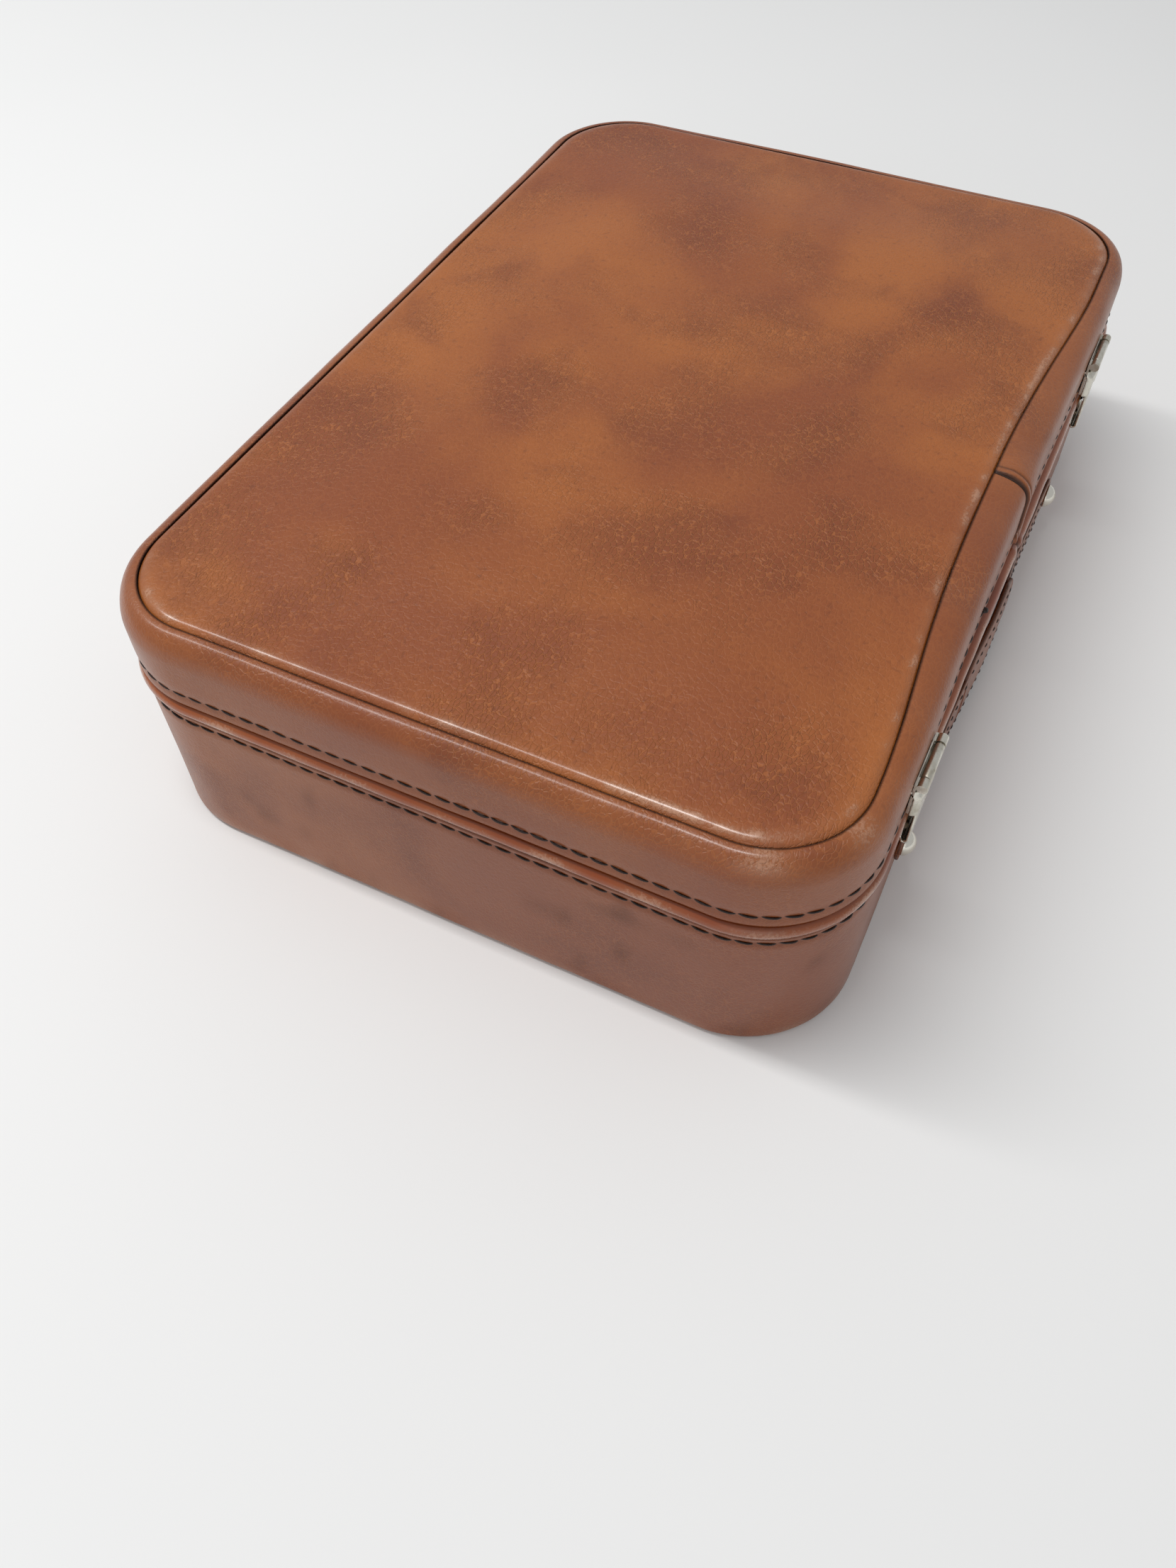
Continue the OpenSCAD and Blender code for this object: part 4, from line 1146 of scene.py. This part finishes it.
def handle():
    hinge = STUD_X - 7 * MM
    for side, word in ((-1, "left"), (1, "right")):
        strap = slab("handle_strap_leather_" + word, side * (GRIP_END - 3 * MM), side * STRAP_END, strap_y,
                     0.8 * MM, strap_width, STRAP, None, ())
        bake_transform(strap)
        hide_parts("handle_strap_" + word, "handle_end_" + word)
        for row in (-1, 1):
            xs = np.linspace(side * (GRIP_END + 1 * MM), side * (hinge - 6 * MM), 40)
            line = [(x, strap_y(x) - 0.83 * MM, STUD_Z + row * (strap_width(x) - 2.6 * MM)) for x in xs]
            if side < 0:
                line.reverse()
            sew(f"strap_stitches_{word}_{'low' if row < 0 else 'high'}", line, "strap_" + word, closed=False,
                pitch=4.5 * MM, length=3.6 * MM, thickness=0.65 * MM)
    middle_y = (GRIP[0].y + GRIP[1].y) / 2 + 1.3 * MM

    def grip_width(x):
        half = (GRIP[1].z - GRIP[0].z) / 2
        end = (GRIP_END - abs(x)) / (9 * MM)
        return half * (1 - 0.20 * (1 - smooth(end, 0, 1)))

    def grip_y(x):
        return middle_y + 1.5 * MM * smooth(-x, -8 * MM, 34 * MM)

    grip = slab("handle_grip_leather", -GRIP_END, GRIP_END, grip_y, 1.3 * MM, grip_width, STRAP,
                "grip", ("handle_grip",), 70, crown=0.25)
    for row in (-1, 1):
        xs = np.linspace(-GRIP_END + 6 * MM, GRIP_END - 6 * MM, 50)
        line = [(x, grip_y(x) - 1.36 * MM, STUD_Z + row * (grip_width(x) - 3.2 * MM)) for x in xs]
        sew("grip_stitches_" + ("low" if row < 0 else "high"), line, "grip", closed=False,
            pitch=4.5 * MM, length=3.6 * MM, thickness=0.65 * MM)


handle()
print("strap handle made")

# %% [markdown]
# ## Boards and linings
# The leather is glued on a fibre board box. Its boards are seen only as an edge, so a closed profile
# carried round the outline is enough. The walls are lined with suede turned over the board's edge.


# %% Boards
LINING = 5 * MM
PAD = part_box("lid_pad")
BASE_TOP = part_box("base_lining")[1].z


def flat_sheet(name, z, depth, finish, body, slot, up=False):
    """A flat sheet that fills the outline, facing down or up."""
    verts = [(x - ox * depth, y - oy * depth, z) for x, y, ox, oy in WALK]
    face = list(range(len(verts)))
    return new_piece(name, verts, [face if up else face[::-1]], finish, body, slot)


def boards():
    face, back = 2.4 * MM, 4.8 * MM
    roof, under = RIM - 3.8 * MM, RIM - 7.2 * MM
    profile = [(face, LID_LOW + 1 * MM), (face, RIM - 7.5 * MM), (4 * MM, RIM - 4.8 * MM), (7 * MM, roof),
               (7 * MM, under), (back, under), (back, LID_LOW + 1 * MM)]
    verts, faces = carry(profile, closed=True)
    new_piece("lid_board_wall", verts, faces, BOARD, "lid", "board", ("lid_board",), flat=True)
    flat_sheet("lid_board_top", roof, 6.9 * MM, BOARD, "lid", "board", up=True)
    profile = [(face, 3 * MM), (face, BASE_TOP - 0.7 * MM), (back, BASE_TOP - 0.7 * MM), (back, 5 * MM),
               (7 * MM, 5 * MM), (7 * MM, 1.5 * MM), (4 * MM, 1.5 * MM)]
    verts, faces = carry(profile, closed=True)
    new_piece("base_board_wall", verts, faces, BOARD, "base", "board", ("base_board",), flat=True)
    flat_sheet("base_board_floor", 5 * MM, 6.9 * MM, BOARD, "base", "board", up=True)


boards()


# %% Suede linings
def wall_lining(name, edge, far, body, replaces):
    """Suede on the inside of a wall, from its turned edge to the height far."""
    way = 1 if far > edge else -1
    inner = LINING + 1.0 * MM
    rows = [(LINING - 1.6 * MM, edge + way * 0.1 * MM), (LINING + 0.1 * MM, edge),
            (inner - 0.1 * MM, edge + way * 0.5 * MM)]
    rows += [(inner, z) for z in np.linspace(edge, far, 10)[1:]]

    def shape(x, y, out, depth, z):
        return depth + 0.12 * MM * abs(wobble(x, y, z, 40, 1.0)) - 0.1 * MM, z

    verts, faces = carry(rows, shape=shape)
    if way > 0:
        faces = [tuple(reversed(f)) for f in faces]
    return new_piece(name, verts, faces, SUEDE, body, "suede", replaces)


wall_lining("lid_suede", LID_LOW, PAD[1].z, "lid", ("lid_lining",))
wall_lining("base_suede", BASE_TOP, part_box("deck_cover")[0].z, "base", ("base_lining",))
flat_sheet("lid_suede_roof", PAD[1].z - 0.05 * MM, LINING + 0.5 * MM, SUEDE, "lid", "suede")


def deck_suede():
    """The deck's suede: the CAD sheet cut into small squares, so that it can lie a little unevenly."""
    bm = bmesh.new()
    bm.from_mesh(nodes["deck_cover"].data)
    bm.transform(nodes["deck_cover"].matrix_world)
    for axis, half in ((0, HALF_L), (1, HALF_W)):
        for at in np.arange(-half + 8 * MM, half, 8 * MM):
            across = Vector((1, 0, 0)) if axis == 0 else Vector((0, 1, 0))
            everything = bm.verts[:] + bm.edges[:] + bm.faces[:]
            bmesh.ops.bisect_plane(bm, geom=everything, plane_co=across * at, plane_no=across)
    for v in bm.verts:
        v.co.z += 0.10 * MM * wobble(v.co.x, v.co.y, 0, 45, 3.3) - 0.06 * MM
    mesh = bpy.data.meshes.new("deck_suede")
    bm.to_mesh(mesh)
    bm.free()
    mesh.materials.clear()
    mesh.materials.append(SUEDE)
    piece = bpy.data.objects.new("deck_suede", mesh)
    bpy.context.scene.collection.objects.link(piece)
    ease_edges(piece, 0.3 * MM, 40)
    settle(piece, "base", "suede", ("deck_cover",))


deck_suede()
print("boards and linings made")

# %% [markdown]
# ## Pad of the lid
# The lid has a soft pad, quilted in a grid of sewn channels, which keeps the watches on their cushions.

# %% Quilted pad of the lid
QUILT = 48 * MM


def lid_pad():
    half_l, half_w = PAD[1].x, PAD[1].y
    nx, ny = 150, 104
    radius = 18 * MM
    verts, grime = [], []
    for layer in (0, 1):
        for i in range(nx + 1):
            for j in range(ny + 1):
                u, v = 2 * i / nx - 1, 2 * j / ny - 1
                x, y = round_square(u, v, half_l, half_w, radius)
                edge = min(half_l - abs(x), half_w - abs(y))
                corner_x, corner_y = abs(x) - half_l + radius, abs(y) - half_w + radius
                if corner_x > 0 and corner_y > 0:
                    edge = radius - math.hypot(corner_x, corner_y)
                rise = math.sqrt(max(0.0, 1 - (1 - min(1.0, edge / (7 * MM))) ** 2))
                diag = [abs(((x + s * y) / QUILT + 0.5) % 1 - 0.5) * QUILT for s in (-1, 1)]
                channel = min(1.0, min(diag) / (9 * MM))
                puff = math.sqrt(1 - (1 - channel) ** 2)
                thick = (PAD[1].z - PAD[0].z) * rise * (0.42 + 0.58 * puff)
                z = PAD[1].z - thick if layer == 0 else PAD[1].z
                verts.append((x, y, z))
                # Painted shade in the sewn channels.
                grime.append(0.5 * (1 - min(1.0, min(diag) / (1.2 * MM))) if layer == 0 else 0)
    n = (nx + 1) * (ny + 1)
    faces = []
    for i in range(nx):
        for j in range(ny):
            a = i * (ny + 1) + j
            faces += [(a, a + 1, a + ny + 2, a + ny + 1), (n + a, n + a + ny + 1, n + a + ny + 2, n + a + 1)]
    piece = new_piece("lid_quilted_pad", verts, faces, CREAM, "lid", "suede", ("lid_pad",), {"grime": grime})
    clean(piece, 0.01 * MM)
    piece.data.shade_smooth()


def round_square(u, v, half_l, half_w, radius):
    """Maps a square grid onto a rectangle with round corners."""
    x, y = u * half_l, v * half_w
    cx, cy = half_l - radius, half_w - radius
    if abs(x) > cx and abs(y) > cy:
        dx, dy = abs(x) - cx, abs(y) - cy
        far = max(dx, dy)
        long = math.hypot(dx, dy)
        if long > 0:
            x = math.copysign(cx + dx * far / long, x)
            y = math.copysign(cy + dy * far / long, y)
    return x, y


lid_pad()


def quilt_lines():
    """The sewn channels: slanting lines across the pad, cut short at its edge."""
    half_l, half_w = PAD[1].x - 5 * MM, PAD[1].y - 5 * MM
    z = PAD[1].z - 0.42 * (PAD[1].z - PAD[0].z) - 0.15 * MM
    count = 0
    for s in (-1, 1):
        reach = int((half_l + half_w) / QUILT) + 1
        for k in range(-reach, reach + 1):
            offset = k * QUILT
            xs = [x for x in np.arange(-half_l, half_l, 4 * MM) if abs((offset - x) * s) < half_w]
            if len(xs) < 6:
                continue
            line = [(x, (offset - x) * s, z) for x in xs]
            sew(f"quilt_stitches_{count}", line, "lid", closed=False, pitch=4.5 * MM, length=3.0 * MM,
                thickness=0.55 * MM, slant=0.0, material=CREAM_THREAD, slot="suede")
            count += 1
    return count


def cream_thread():
    f = Finish("cream_thread", Roughness=0.7, Sheen_Weight=0.2)
    f.set("Base Color", f.mix(f.noise(1200, 2), linear((0.66, 0.55, 0.42)), linear((0.80, 0.70, 0.57))))
    f.bump(f.noise(1600, 2), 0.0002)
    return f.material


CREAM_THREAD = cream_thread()
print("quilted pad with", quilt_lines(), "sewn channels")

# %% [markdown]
# ## Cushions and pillows
# A watch cushion is a soft block that the closed strap is pulled over. It is stuffed suede, so its
# faces swell and its sides pull in between the corners. Blender's Cloth with a little pressure blows
# up a slightly small block, and a cap on how far a point may move keeps it inside its cup.


# %% Stuffed blocks
SHRINK, CAP, VOXEL, FRAMES = 2.6 * MM, 3.5 * MM, 4 * MM, 16


def stuffed(name, node, body):
    """A soft block in the place of a CAD block: cut SHRINK too small, then blown up by at most CAP."""
    low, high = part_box(node)
    middle = (low + high) / 2
    size = (high - low) / 2
    mesh = bpy.data.meshes.new(name)
    bm = bmesh.new()
    bmesh.ops.create_cube(bm, size=2)
    for v in bm.verts:
        v.co = Vector(c * (s - SHRINK) for c, s in zip(v.co, size))
    bmesh.ops.bevel(bm, geom=bm.edges[:], offset=6 * MM, segments=4, profile=0.6, affect="EDGES")
    bm.to_mesh(mesh)
    bm.free()
    block = bpy.data.objects.new(name, mesh)
    bpy.context.scene.collection.objects.link(block)
    remesh = block.modifiers.new("voxels", "REMESH")
    remesh.mode, remesh.voxel_size = "VOXEL", VOXEL
    bake(block)
    start = np.array([v.co for v in block.data.vertices])
    inflate(block, FRAMES)
    moved = np.array([v.co for v in block.data.vertices]) - start
    length = np.linalg.norm(moved, axis=1, keepdims=True)
    moved *= np.minimum(1.0, CAP / np.maximum(length, 1e-9))
    place = start + moved
    limit = np.array(size) - 0.15 * MM
    place = np.clip(place, -limit, limit)
    block.data.vertices.foreach_set("co", place.astype(np.float32).ravel())
    block.data.update()
    subdivide = block.modifiers.new("smooth", "SUBSURF")
    subdivide.levels = subdivide.render_levels = 1
    bake(block)
    pinch_seam(block, size)
    block.data.transform(Matrix.Translation(middle))
    block.data.materials.clear()
    block.data.materials.append(CREAM)
    block.data.shade_smooth()
    settle(block, body, "cushion_suede", (node,))


def inflate(piece, frames):
    scene = bpy.context.scene
    cloth = piece.modifiers.new("cloth", "CLOTH")
    cloth.settings.quality = 5
    cloth.settings.mass = 0.2
    cloth.settings.use_pressure = True
    cloth.settings.uniform_pressure_force = 4
    cloth.settings.effector_weights.gravity = 0
    cloth.point_cache.frame_start, cloth.point_cache.frame_end = 1, frames
    for number in range(1, frames + 1):
        scene.frame_set(number)
    bake(piece)
    scene.frame_set(1)


def pinch_seam(piece, size):
    """Draws in the sewn seam round the middle of the block and darkens it with painted shade."""
    marks = []
    for v in piece.data.vertices:
        near = math.exp(-(v.co.z / (1.1 * MM)) ** 2)
        scale = 1 - 0.022 * near
        v.co.x, v.co.y = v.co.x * scale, v.co.y * scale
        dent = 0.35 * MM * wobble(v.co.x, v.co.y, v.co.z, 60, size.x * 900)
        v.co.z += dent * (1 if v.co.z > 0 else 0)
        # Painted shade in the drawn-in seam.
        marks.append(0.6 * near)
    layer = piece.data.attributes.new("grime", "FLOAT", "POINT")
    layer.data.foreach_set("value", np.asarray(marks, np.float32))


for number in range(1, 5):
    stuffed(f"pillow_{number}", f"watch_pillow_{number}", f"pillow_{number}")
for word in ("left", "right"):
    stuffed("cushion_" + word, "watch_cushion_" + word, "cushion_" + word)
print("pillows and cushions stuffed")

# %% [markdown]
# ## Cups, rings and wells
# The rotor cups are turned tubs lined with suede, with a nickel ring on the deck round each. The wells
# are boxes with round corners, also suede lined, and a turned-over lip that rests on the deck.


# %% Rotor cups and rings
def rotor_cups():
    for word in ("left", "right"):
        low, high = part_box("rotor_cup_" + word)
        r, h = (high.x - low.x) / 2, high.z - low.z
        centre = ((low.x + high.x) / 2, (low.y + high.y) / 2, low.z)
        wall = 2 * MM
        profile = [(0, 0.02 * MM), (r - 3 * MM, 0.02 * MM), (r - 0.9 * MM, 0.9 * MM), (r - 0.02 * MM, 3 * MM),
                   (r - 0.02 * MM, h - 1.2 * MM)]
        profile += [(r - 1 * MM + MM * math.cos(a), h - 1.05 * MM + MM * math.sin(a))
                    for a in np.linspace(0, math.pi, 9)]
        profile += [(r - wall, h - 2 * MM), (r - wall, 7 * MM), (r - wall - 1.2 * MM, 4.2 * MM),
                    (r - wall - 4 * MM, 3.05 * MM), (0, 3.05 * MM)]
        turned("rotor_tub_" + word, profile, centre, (0, 0, 1), SUEDE, "rotor_" + word, "suede", 72,
               ("rotor_cup_" + word,))
        ring_low, ring_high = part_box("rotor_rings")
        ring_r = ring_high.x - abs(centre[0])
        inner, tall = r + 0.6 * MM, ring_high.z - ring_low.z
        ring = [(inner, 0.05 * MM), (inner, 0.8 * MM), (inner + 0.5 * MM, 1.5 * MM)]
        mid, half = (inner + ring_r) / 2, (ring_r - inner) / 2
        ring += [(mid - half * 0.66 * math.cos(a), 1.5 * MM + (tall - 1.6 * MM) * math.sin(a))
                 for a in np.linspace(0.1, math.pi - 0.1, 12)]
        ring += [(ring_r - 0.5 * MM, 1.3 * MM), (ring_r, 0.7 * MM), (ring_r, 0.05 * MM)]
        turned("rotor_ring_" + word, ring, (centre[0], centre[1], ring_low.z), (0, 0, 1), BRIGHT, "base",
               "nickel", 96, ("rotor_rings",))


rotor_cups()


# %% Storage wells
def wells():
    low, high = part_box("storage_wells")
    centres = [sum(corner.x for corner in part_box(f"watch_pillow_{i}")) / 2 for i in range(1, 5)]
    cy = (low.y + high.y) / 2
    hw, hl = 36 * MM, (high.y - low.y) / 2
    lip, wall = 3 * MM, 1 * MM
    floor, top = low.z, high.z
    rows = [(0.0, top - 0.9 * MM), (0.15 * MM, top - 0.3 * MM), (0.9 * MM, top - 0.02 * MM),
            (lip - 0.8 * MM, top - 0.02 * MM), (lip, top - 0.5 * MM), (lip, top - 6 * MM),
            (lip, floor + 8 * MM), (lip + 0.5 * MM, floor + 3.5 * MM),
            (lip + 2.5 * MM, floor + wall + 0.1 * MM)]
    for number, cx in enumerate(centres, 1):
        walk = small_walk(cx, cy, hw, hl, 5 * MM)
        verts, faces = carry(rows, walk)
        n = len(walk)
        faces.append(tuple(i * len(rows) + len(rows) - 1 for i in range(n)))
        outer = [(lip - wall - 0.05 * MM, top - 1.0 * MM), (lip - wall - 0.05 * MM, floor + 0.6 * MM),
                 (lip, floor + 0.02 * MM)]
        more, more_faces = carry(outer, walk)
        base = len(verts)
        faces += [tuple(base + v for v in reversed(f)) for f in more_faces]
        faces.append(tuple(base + i * 3 + 2 for i in reversed(range(n))))
        piece = new_piece(f"storage_well_{number}", verts + more, faces, SUEDE, "base", "suede",
                          ("storage_wells",))
        for face in piece.data.polygons:
            face.use_smooth = len(face.vertices) == 4


def small_walk(cx, cy, hw, hl, radius):
    spots = []
    for i, (sx, sy) in enumerate(((1, 1), (-1, 1), (-1, -1), (1, -1))):
        for k in range(7):
            a = math.pi / 2 * (i + k / 6)
            ox, oy = math.cos(a), math.sin(a)
            x, y = cx + sx * (hw - radius) + radius * ox, cy + sy * (hl - radius) + radius * oy
            spots.append((x, y, ox, oy))
    return spots


wells()
print("cups, rings and wells made")


# %% Marks round the mode knob
def knob_marks():
    """Eight printed dots, larger by turns, on the panel round the knob."""
    low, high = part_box("mode_knob")
    cx, cy = (low.x + high.x) / 2, (low.y + high.y) / 2
    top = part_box("control_panel")[1].z + 0.03 * MM
    verts, faces = [], []
    for i in range(8):
        a = math.radians(-45 + i * 270 / 7 + 90)
        px, py = cx + 11.6 * MM * math.cos(a), cy + 11.6 * MM * math.sin(a)
        r = (0.4 + 0.05 * i) * MM
        start = len(verts)
        verts += [(px + r * math.cos(t), py + r * math.sin(t), top)
                  for t in np.linspace(0, 2 * math.pi, 17)[:-1]]
        faces.append(tuple(range(start, start + 16)))
    new_piece("knob_marks", verts, faces, PAINT, "base", "grey_plastic", flat=True)


PAINT = plastic("white_paint", (0.86, 0.85, 0.82), 0.5, 0.3)
knob_marks()

# %% [markdown]
# ## Floor and light
# The case stands on a plain pale floor in an evenly lit room. A long narrow lamp overhead draws the
# bright line along the rolled edges, and a weak square one at the left opens the shadows there.


# %% Stage
def stage():
    mesh = bpy.data.meshes.new("floor")
    size = 3.0
    corners = [(-size, -size, 0), (size, -size, 0), (size, size, 0), (-size, size, 0)]
    mesh.from_pydata(corners, [], [(0, 1, 2, 3)])
    floor = bpy.data.objects.new("floor", mesh)
    bpy.context.scene.collection.objects.link(floor)
    f = Finish("pale_floor", Roughness=0.9, Specular_IOR_Level=0.2)
    f.set("Base Color", f.mix(f.noise(3, 2), linear((0.92, 0.92, 0.915)), linear((0.94, 0.94, 0.935))))
    mesh.materials.append(f.material)


def soft_lamp(name, place, turn, size_x, size_y, watts):
    data = bpy.data.lights.new(name, "AREA")
    data.shape, data.size, data.size_y, data.energy = "RECTANGLE", size_x, size_y, watts
    lamp_object = bpy.data.objects.new(name, data)
    lamp_object.location, lamp_object.rotation_euler = place, [math.radians(a) for a in turn]
    bpy.context.scene.collection.objects.link(lamp_object)


def lights():
    world = bpy.data.worlds.new("room")
    world.use_nodes = True
    world.node_tree.nodes["Background"].inputs["Color"].default_value = (0.97, 0.98, 1.0, 1)
    world.node_tree.nodes["Background"].inputs["Strength"].default_value = 0.50
    bpy.context.scene.world = world
    bpy.context.scene.view_settings.view_transform = "Standard"
    soft_lamp("strip", (-0.20, 0.75, 1.5), (0, 0, 0), 0.15, 1.7, 18)
    soft_lamp("side", (-1.3, -0.5, 0.45), (0, -75, 20), 0.9, 0.9, 1.5)


stage()
lights()
